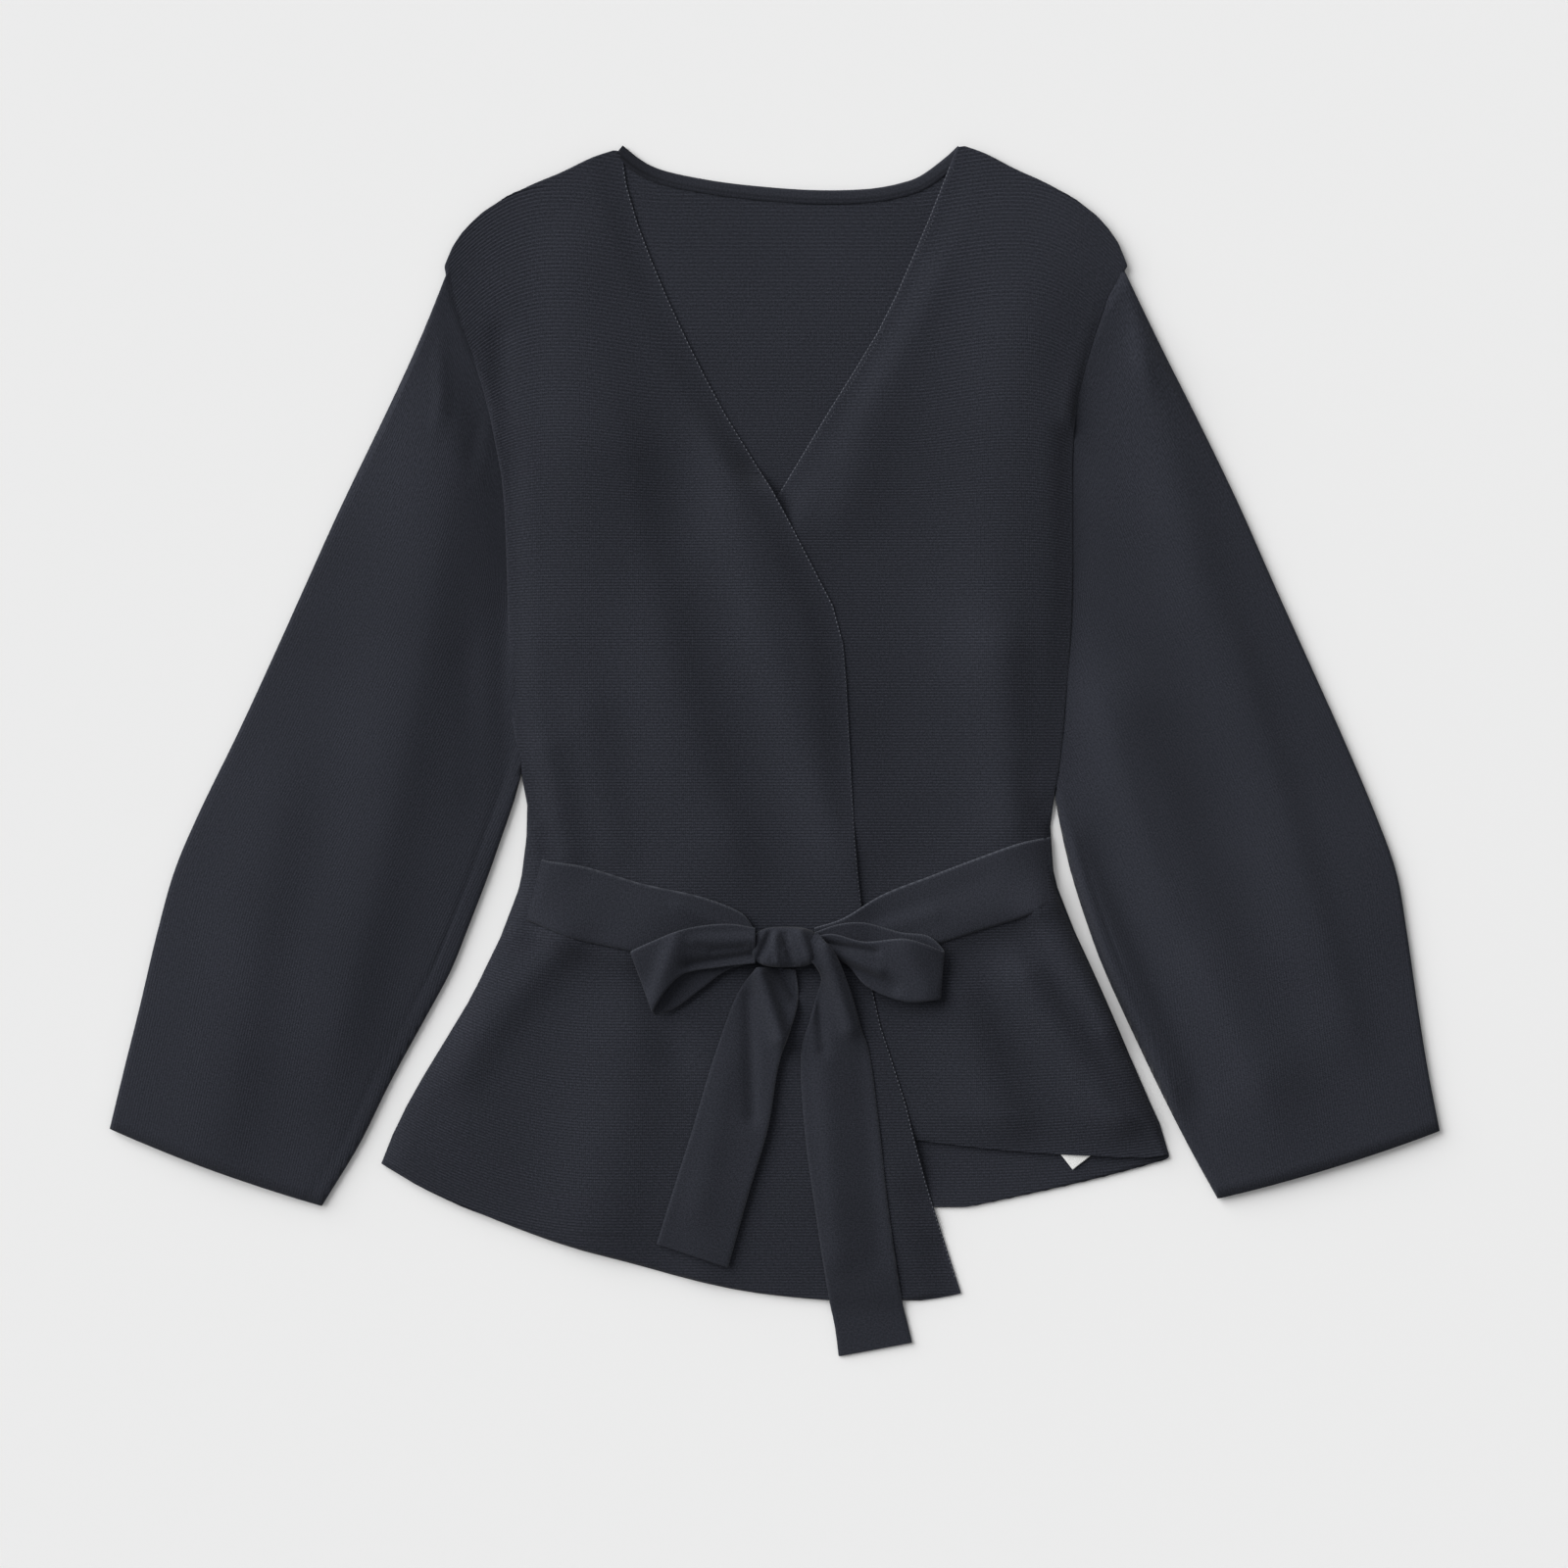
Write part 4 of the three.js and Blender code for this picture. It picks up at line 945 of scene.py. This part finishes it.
# The tape's two edges, a and b, and how far each rises off what lies below
onFront = 1.3
# Each tape's edges pair is how strong a painted highlight its edges a and b get
ribbons = {
    "belt_right_strip": {
        "rows": 150, "edges": (0.1, 0.55),
        "sections": table(
            tapeColumns,
            (-157.8, -108.4, -148.4, -69.7, 0.4, 0.4),
            (-152, -110.6, -142.5, -70.9, onFront, onFront),
            (-128.4, -119.7, -121.6, -74.1, onFront, onFront),
            (-92.2, -127.8, -85.3, -84.7, onFront, onFront),
            (-53.4, -137.2, -44.1, -94.1, onFront, onFront),
            (-26, -138.5, -20, -104.5, onFront, 2.4),
            (-13.6, -134, -13.6, -113, onFront, 3),
        ),
        "folds": table(
            foldColumns,
            (-60, -100, -16, -120, 4, 5, 0.8),
            (-110, -92, -60, -108, 8, 8, 0.3),
        ),
    },
    "belt_left_strip": {
        "rows": 150, "edges": (0.75, 0.1),
        "sections": table(
            tapeColumns,
            (175.9, -55.3, 178.4, -95.9, 0.8, 0.8),
            (156.6, -59.1, 160.3, -105.3, onFront, onFront),
            (126.6, -69.7, 130.9, -114.7, onFront, onFront),
            (100.3, -79.7, 105.9, -122.8, onFront, onFront),
            (68.4, -92.2, 71.6, -133, onFront, onFront),
            (42.8, -107.4, 43.4, -136, 2.4, onFront),
            (25.4, -113, 25.4, -134, 3, onFront),
        ),
        "folds": table(
            foldColumns,
            (100, -104, 40, -122, 5, 6, 0.8),
            (130, -84, 70, -106, 6, 8, -0.4),
        ),
    },
    "bow_loop_right": {
        "rows": 240, "edges": (0.15, 0.4),
        "sections": table(
            tapeColumns,
            (-12.3, -135.3, -12.3, -112.8, 10, 10),
            (-34.7, -137.8, -29.7, -110.3, 9.8, 10.4),
            (-58.5, -142.5, -56.6, -113.4, 9.8, 11),
            (-70.3, -154.1, -78.4, -121.6, 8.8, 9.8),
            (-76.8, -167.6, -91.2, -127.8, 6.8, 7.2),
            (-65.4, -165.3, -80.3, -125.3, 3.6, 3.8),
            (-46.9, -152.2, -53.4, -120.3, 3.4, 3.4),
            (-32.8, -141.6, -29, -116.6, 3.6, 3.6),
            (-13.3, -133, -13.3, -115.3, 4.6, 4.6),
        ),
        "folds": table(
            foldColumns,
            (-14, -130, -54, -136, 3.5, 3.5, -2.6, 0, 0.4),
            (-14, -120, -50, -121, 4, 4, 1.5, 0, 0.4),
            (-20, -125, -40, -127, 1.6, 1.6, -0.8, 0, 0.4),
            (-62, -120, -76, -158, 6, 8, 2.2, 0, 0.55),
        ),
    },
    "bow_loop_left": {
        "rows": 250, "edges": (0.5, 0.1),
        "sections": table(
            tapeColumns,
            (25.1, -118.4, 26.4, -128, 8, 8),
            (36.5, -116.8, 44.6, -135.3, 9, 8),
            (56.6, -121.6, 58.8, -150.3, 11.5, 9.6),
            (82.8, -119.7, 82.2, -159.6, 13, 11),
            (98.4, -124.1, 97.8, -159.4, 11, 9.6),
            (107.4, -127.8, 104.9, -157.8, 7.2, 6.6),
            (98.6, -118.6, 94.4, -154.1, 3.8, 3.6),
            (80.3, -115.9, 77.8, -149.7, 3.8, 3.6),
            (55.9, -109.7, 59.1, -140.3, 3.4, 3.4),
            (40.3, -110.9, 42.2, -130.9, 3.4, 3.4),
            (25.1, -116, 25.4, -126, 3.8, 3.8),
        ),
        "folds": table(
            foldColumns,
            (28, -122, 64, -128, 2.2, 2.2, -1.6, 0, 0.45),
            (30, -126, 66, -140, 3.4, 3.4, 1.8, 0, 0.45),
            (40, -134, 74, -150, 4, 5, -2.2, 0, 0.45),
            (84, -126, 96, -152, 8, 8, 1.0, 0, 0.5),
        ),
    },
    "tail_right": {
        "rows": 320, "edges": (0.0, 0.4),
        "sections": table(
            tapeColumns,
            (-11.6, -138.2, 13.4, -139.4, 3.4, 3.4),
            (-22.8, -153.4, 14.8, -160.3, onFront, 4.4),
            (-38.4, -194.7, 2.8, -199.7, onFront, 4.6),
            (-52.8, -242.8, -4.1, -240.3, onFront, 4.4),
            (-64.1, -278.4, -16.6, -282.8, onFront, 3.6),
            (-75.3, -314.7, -29.7, -329.7, onFront, 2.6),
        ),
        "folds": table(
            foldColumns,
            (-9, -142, 4, -182, 6, 4.5, 4.2),
            (3, -138, 13, -156, 4.5, 4, -2.8),
            (-16, -158, -14, -232, 5, 4, -1.5),
            (-30, -200, -48, -290, 9, 9, 0.6),
        ),
    },
    "tail_left": {
        "rows": 400, "edges": (0.0, 0.35),
        "sections": table(
            tapeColumns,
            (17.5, -129.5, 26.5, -115, 12.2, 11.6),
            (26, -137.4, 38.5, -129.5, 10.2, 10.6),
            (29.7, -145.6, 46.6, -148.6, 6, 7.4),
            (27.2, -154.8, 50.6, -160.9, 3, 4.6),
            (22.4, -171.6, 55.2, -177.7, onFront, 2),
            (17, -190.9, 59.7, -189.8, onFront, onFront),
            (19.1, -242.8, 66.6, -239.2, onFront, onFront),
            (25.3, -289.7, 72.2, -289.7, onFront, onFront),
            (34.7, -350.3, 81.6, -352.2, onFront, onFront),
            (38.4, -368.4, 84.7, -365.3, onFront, onFront),
            (40.9, -387.2, 87.8, -378.4, 0.95, onFront),
        ),
        "folds": table(
            foldColumns,
            (33, -126, 48, -176, 6, 5, 3.0),
            (27, -146, 30, -190, 3, 5, -1.6),
            (30, -190, 40, -320, 9, 12, 1.6),
            (56, -200, 66, -320, 8, 8, -0.8),
        ),
    },
}
ribbonShape = {
    "thickness": 1.4, "columns": 22, "closeEdges": 0.25, "roundedTo": 0.8, "least": 0.12, "foldFade": 0.06,
    "bead": 0.06, "beadAt": 0.9, "beadWidth": 0.7, "beadEven": 0.6, "beadStitch": 0.8, "stitch": 1.9,
    # Painted highlight along the tape's edges: its width, its even part and its part that follows the
    # stitches
    "paintedEdgeHighlight": 0.5, "highlightEven": 0.2, "highlightStitch": 0.5,
}


def ribbonPiece(name):
    settings = ribbons[name]
    along = np.linspace(0, 1, settings["rows"])
    edgeA, edgeB = (
        curveAt([[row[side + key] for key in ("x", "y", "Rise")] for row in settings["sections"]], along)
        for side in ("a", "b")
    )
    turn = (1 - np.cos(np.linspace(0, math.pi, ribbonShape["columns"]))) / 2
    even = np.linspace(0, 1, ribbonShape["columns"])
    across = ((1 - ribbonShape["closeEdges"]) * even + ribbonShape["closeEdges"] * turn)[None, :, None]
    middle = edgeA[:, None, :] * (1 - across) + edgeB[:, None, :] * across
    middle[:, :, 2] += readMap(lap, middle[:, :, 0], middle[:, :, 1])
    for fold in settings["folds"]:
        within = smooth((fold.get("to", 2) - along) / ribbonShape["foldFade"])[:, None]
        middle[:, :, 2] += foldRelief([fold], middle[:, :, 0], middle[:, :, 1]) * within
    normal = np.cross(np.gradient(middle, axis=1), np.gradient(middle, axis=0))
    normal /= np.maximum(np.linalg.norm(normal, axis=2, keepdims=True), 1e-9)
    width = np.linalg.norm(edgeB[:, :2] - edgeA[:, :2], axis=1)
    length = runLength((edgeA + edgeB) / 2)
    fromA = across[:, :, 0] * width[:, None]
    fromB = (1 - across[:, :, 0]) * width[:, None]
    nearEdge = np.minimum(fromA, fromB)
    stitch = 0.5 + 0.5 * np.cos(math.tau * length / ribbonShape["stitch"])[:, None]
    fromBead = (nearEdge - ribbonShape["beadAt"]) / ribbonShape["beadWidth"]
    bead = ribbonShape["bead"] * np.exp(-(fromBead ** 2))
    rounded = np.sqrt(np.clip(nearEdge / ribbonShape["roundedTo"], ribbonShape["least"], 1))
    bead = bead * (ribbonShape["beadEven"] + ribbonShape["beadStitch"] * stitch)
    half = ribbonShape["thickness"] / 2 * rounded + bead
    upper = middle + normal * half[:, :, None]
    lower = middle - normal * half[:, :, None]

    def around(values, below):
        return np.concatenate([values, below[:, ::-1], values[:, :1]], axis=1)

    x, y, z = np.moveaxis(around(upper, lower), 2, 0)
    # Painted highlight along both edges, stronger at each stitch
    paintedEdgeHighlight = np.maximum(*(
        light * np.exp(-((away / ribbonShape["paintedEdgeHighlight"]) ** 2))
        for light, away in zip(settings["edges"], (fromA, fromB))
    ))
    paintedEdgeHighlight = paintedEdgeHighlight * (ribbonShape["highlightEven"] + ribbonShape["highlightStitch"] * stitch)
    u = around(fromA, fromA)
    v = spread(length, x)
    piece = clothObject(name + "_knit", "belt_knit", x, y, z, u, v, around(paintedEdgeHighlight, paintedEdgeHighlight), weld=True)
    closeEnds(piece)
    return piece


def closeEnds(piece):
    bm = bmesh.new()
    bm.from_mesh(piece.data)
    ends = [edge for edge in bm.edges if edge.is_boundary]
    bmesh.ops.holes_fill(bm, edges=ends, sides=0)
    bmesh.ops.recalc_face_normals(bm, faces=bm.faces)
    bm.to_mesh(piece.data)
    bm.free()


belts = {name: ribbonPiece(name) for name in ribbons}

knot = {
    "x": 7, "y": -125.2, "halfX": 21.5, "halfY": 12.9, "halfZ": 5.8, "squareness": 0.68, "seat": 1.2,
    "around": 72, "upward": 40,
    "folds": table(
        foldColumns,
        (-3, -117, -11, -134, 2.4, 3.0, -1.7),
        (0, -119, 2, -134, 2.6, 1.8, 1.0),
        (6, -118, 11, -136, 2.2, 3.0, -1.7),
        (17, -116, 22, -130, 4, 3, 1.8),
    ),
}


def knotPiece():
    bm = bmesh.new()
    bmesh.ops.create_uvsphere(bm, u_segments=knot["around"], v_segments=knot["upward"], radius=1)
    seat = float(readMap(lap, np.array([knot["x"]]), np.array([knot["y"]]))[0]) + knot["seat"]

    def square(value):
        return math.copysign(abs(value) ** knot["squareness"], value)

    for vertex in bm.verts:
        x = knot["x"] + knot["halfX"] * square(vertex.co.x)
        y = knot["y"] + knot["halfY"] * square(vertex.co.y)
        z = seat + knot["halfZ"] * (1 + square(vertex.co.z))
        if vertex.co.z > 0:
            relief = foldRelief(knot["folds"], np.array([x]), np.array([y]))[0]
            z += relief * min(1, vertex.co.z * 2)
        vertex.co = Vector((x, y, z)) * mm
    bmesh.ops.recalc_face_normals(bm, faces=bm.faces)
    piece = shapedPiece("bow_knot_knit", "belt_knit", bm, lambda place: (place.y - place.z, place.x))
    piece.data.attributes.new("paintedHighlight", "FLOAT", "POINT")
    return piece


belts["bow_knot"] = knotPiece()

print("stage: neck band and label")

neckBand = {
    "rows": 230, "top": 2.9, "thickness": 1.3, "edgeDrop": 0.9, "edgeWidth": 1.5,
    # Painted shade on the next line: a dark seam line and a darker end at the wearer's right. Painted
    # highlight on the line after: a light rim over the band's top.
    "seamAt": 6.2, "seamShade": 0.5, "seamWidth": 0.7, "darkTo": -62, "dark": 0.55, "darkFade": 30,
    "rimHighlight": 0.02, "rimHighlightWidth": 1.5, "rimHighlightFade": 20,
    "across": (0, 0.3, 0.9, 1.8, 3.2, 4.8, 6.2, 7.4, 8.2, 8.8, 9),
    "line": table(
        "x y", (-97, 386.3), (-84.7, 376.6), (-72.8, 370.9), (-38.4, 363.6), (-4.7, 359.7), (22.2, 357.9),
        (45.9, 357.8), (64.7, 359.1), (80.3, 362.2), (92.2, 366.4), (110.3, 379.7), (117, 386),
    ),
}


def neckBandPiece():
    along = np.linspace(0, 1, neckBand["rows"])
    line = curveAt([(point["x"], point["y"]) for point in neckBand["line"]], along)
    tangent = np.gradient(line, axis=0)
    tangent /= np.linalg.norm(tangent, axis=1, keepdims=True)
    inward = np.stack([tangent[:, 1], -tangent[:, 0]], axis=1)
    across = np.array(neckBand["across"])
    x = line[:, 0:1] + inward[:, 0:1] * across
    y = line[:, 1:2] + inward[:, 1:2] * across
    nearEdge = np.minimum(across, across[-1] - across)[None, :]
    edge = (1 - np.clip(nearEdge / neckBand["edgeWidth"], 0, 1)) ** 2
    z = neckBand["top"] - neckBand["edgeDrop"] * edge * np.ones_like(x)
    u = np.repeat(across[None, :], len(along), axis=0)
    v = spread(runLength(line), x)
    x, y, z, u, v = (values[:, ::-1] for values in (x, y, z, u, v))
    # Painted shade along the seam and towards the wearer's right end, and a painted highlight over the band's
    # top
    seamLine = neckBand["seamShade"] * np.exp(-(((u - neckBand["seamAt"]) / neckBand["seamWidth"]) ** 2))
    shade = seamLine + neckBand["dark"] * smooth((neckBand["darkTo"] - x) / neckBand["darkFade"])
    rimHighlight = neckBand["rimHighlight"] * smooth((neckBand["seamAt"] - u) / neckBand["rimHighlightWidth"])
    rimHighlight = rimHighlight * smooth((x - neckBand["darkTo"]) / neckBand["rimHighlightFade"])
    paintedShade = np.minimum(shade, 1)
    piece = clothObject("back_neck_band_knit", "belt_knit", x, y, z, u, v, rimHighlight, paintedShade, weld=True)
    thicken(piece, neckBand["thickness"])
    return piece


careLabel = {
    "x": 196.2, "y": -254.3, "width": 26, "height": 14, "thickness": 0.35, "turn": 38, "top": 3.1,
    "rows": 24, "columns": 40, "wave": 0.25, "waveLength": 4.5,
}


def careLabelPiece():
    rows = np.linspace(-0.5, 0.5, careLabel["rows"]) * careLabel["height"]
    columns = np.linspace(-0.5, 0.5, careLabel["columns"]) * careLabel["width"]
    across, along = np.meshgrid(columns, rows)
    turn = math.radians(careLabel["turn"])
    x = careLabel["x"] + across * math.cos(turn) - along * math.sin(turn)
    y = careLabel["y"] + across * math.sin(turn) + along * math.cos(turn)
    wave = careLabel["wave"] * (1 - np.cos(across / careLabel["waveLength"]))
    z = careLabel["top"] - wave * smooth((across + careLabel["width"] / 2) / careLabel["width"])
    piece = clothObject("care_label_tape", "label_tape", x, y, z, across, along, weld=True)
    thicken(piece, careLabel["thickness"])
    return piece


trim = {"back_neck_band": neckBandPiece(), "care_label": careLabelPiece()}

print("stage: stitches along the edges")

# The light column is how strong a painted highlight each row of stitches gets
stitching = table(
    "name panel pitch top bottom inset long wide high turn light",
    ("front_right_edge", "front_right", 2.9, 372, 70, 0.2, 0.85, 0.45, 0.35, 0, 0.55),
    ("front_right_waist_edge", "front_right", 2.9, 67, -104, 0.2, 0.8, 0.40, 0.30, 0, 0.22),
    ("front_right_skirt_edge", "front_right", 2.9, -132, -338, 0.2, 0.85, 0.42, 0.30, 0, 0.5),
    ("front_left_edge", "front_left", 2.7, 372, 166, 0.1, 0.95, 0.52, 0.38, 20, 0.5),
    ("front_left_inner", "front_left", 2.7, 372, 166, 2.7, 1.1, 0.42, 0.32, 62, 0.28),
)
stitchRise = 0.1


def stitchRow(settings):
    # Small oval stitches at an even pitch along a panel's free edge, with a painted highlight in their colour
    line = freeEdges[settings["panel"]]
    line = line[(line[:, 1] < settings["top"]) & (line[:, 1] > settings["bottom"])][::-1]
    length = runLength(line[:, :2])
    spots = np.arange(0, length[-1], settings["pitch"])
    x, y, z = (np.interp(spots, length, line[:, axis]) for axis in range(3))
    heading = np.arctan2(np.gradient(y), np.gradient(x))
    side = -1 if settings["panel"] == "front_right" else 1
    x = x + side * settings["inset"] * np.abs(np.sin(heading))
    y = y + settings["inset"] * np.cos(heading)
    bm = bmesh.new()
    for px, py, pz, angle in zip(x, y, z, heading):
        turn = Matrix.Rotation(angle + side * math.radians(settings["turn"]), 4, "Z")
        size = Matrix.Diagonal((settings["long"] * mm, settings["wide"] * mm, settings["high"] * mm, 1))
        place = Matrix.Translation(Vector((px, py, pz + stitchRise)) * mm)
        bmesh.ops.create_icosphere(bm, subdivisions=1, radius=1, matrix=place @ turn @ size)
    piece = shapedPiece(settings["name"] + "_stitches", "rib_knit", bm, lambda place: place.xy)
    light = piece.data.attributes.new("paintedHighlight", "FLOAT", "POINT")
    light.data.foreach_set("value", np.full(len(light.data), settings["light"], dtype=np.float32))
    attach(piece, "root")


for settings in stitching:
    stitchRow(settings)

print("stage: bodies and cuts")

pieces = {**body, **arms, **belts, **trim}
for name, piece in pieces.items():
    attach(piece, "root")
    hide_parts(name)
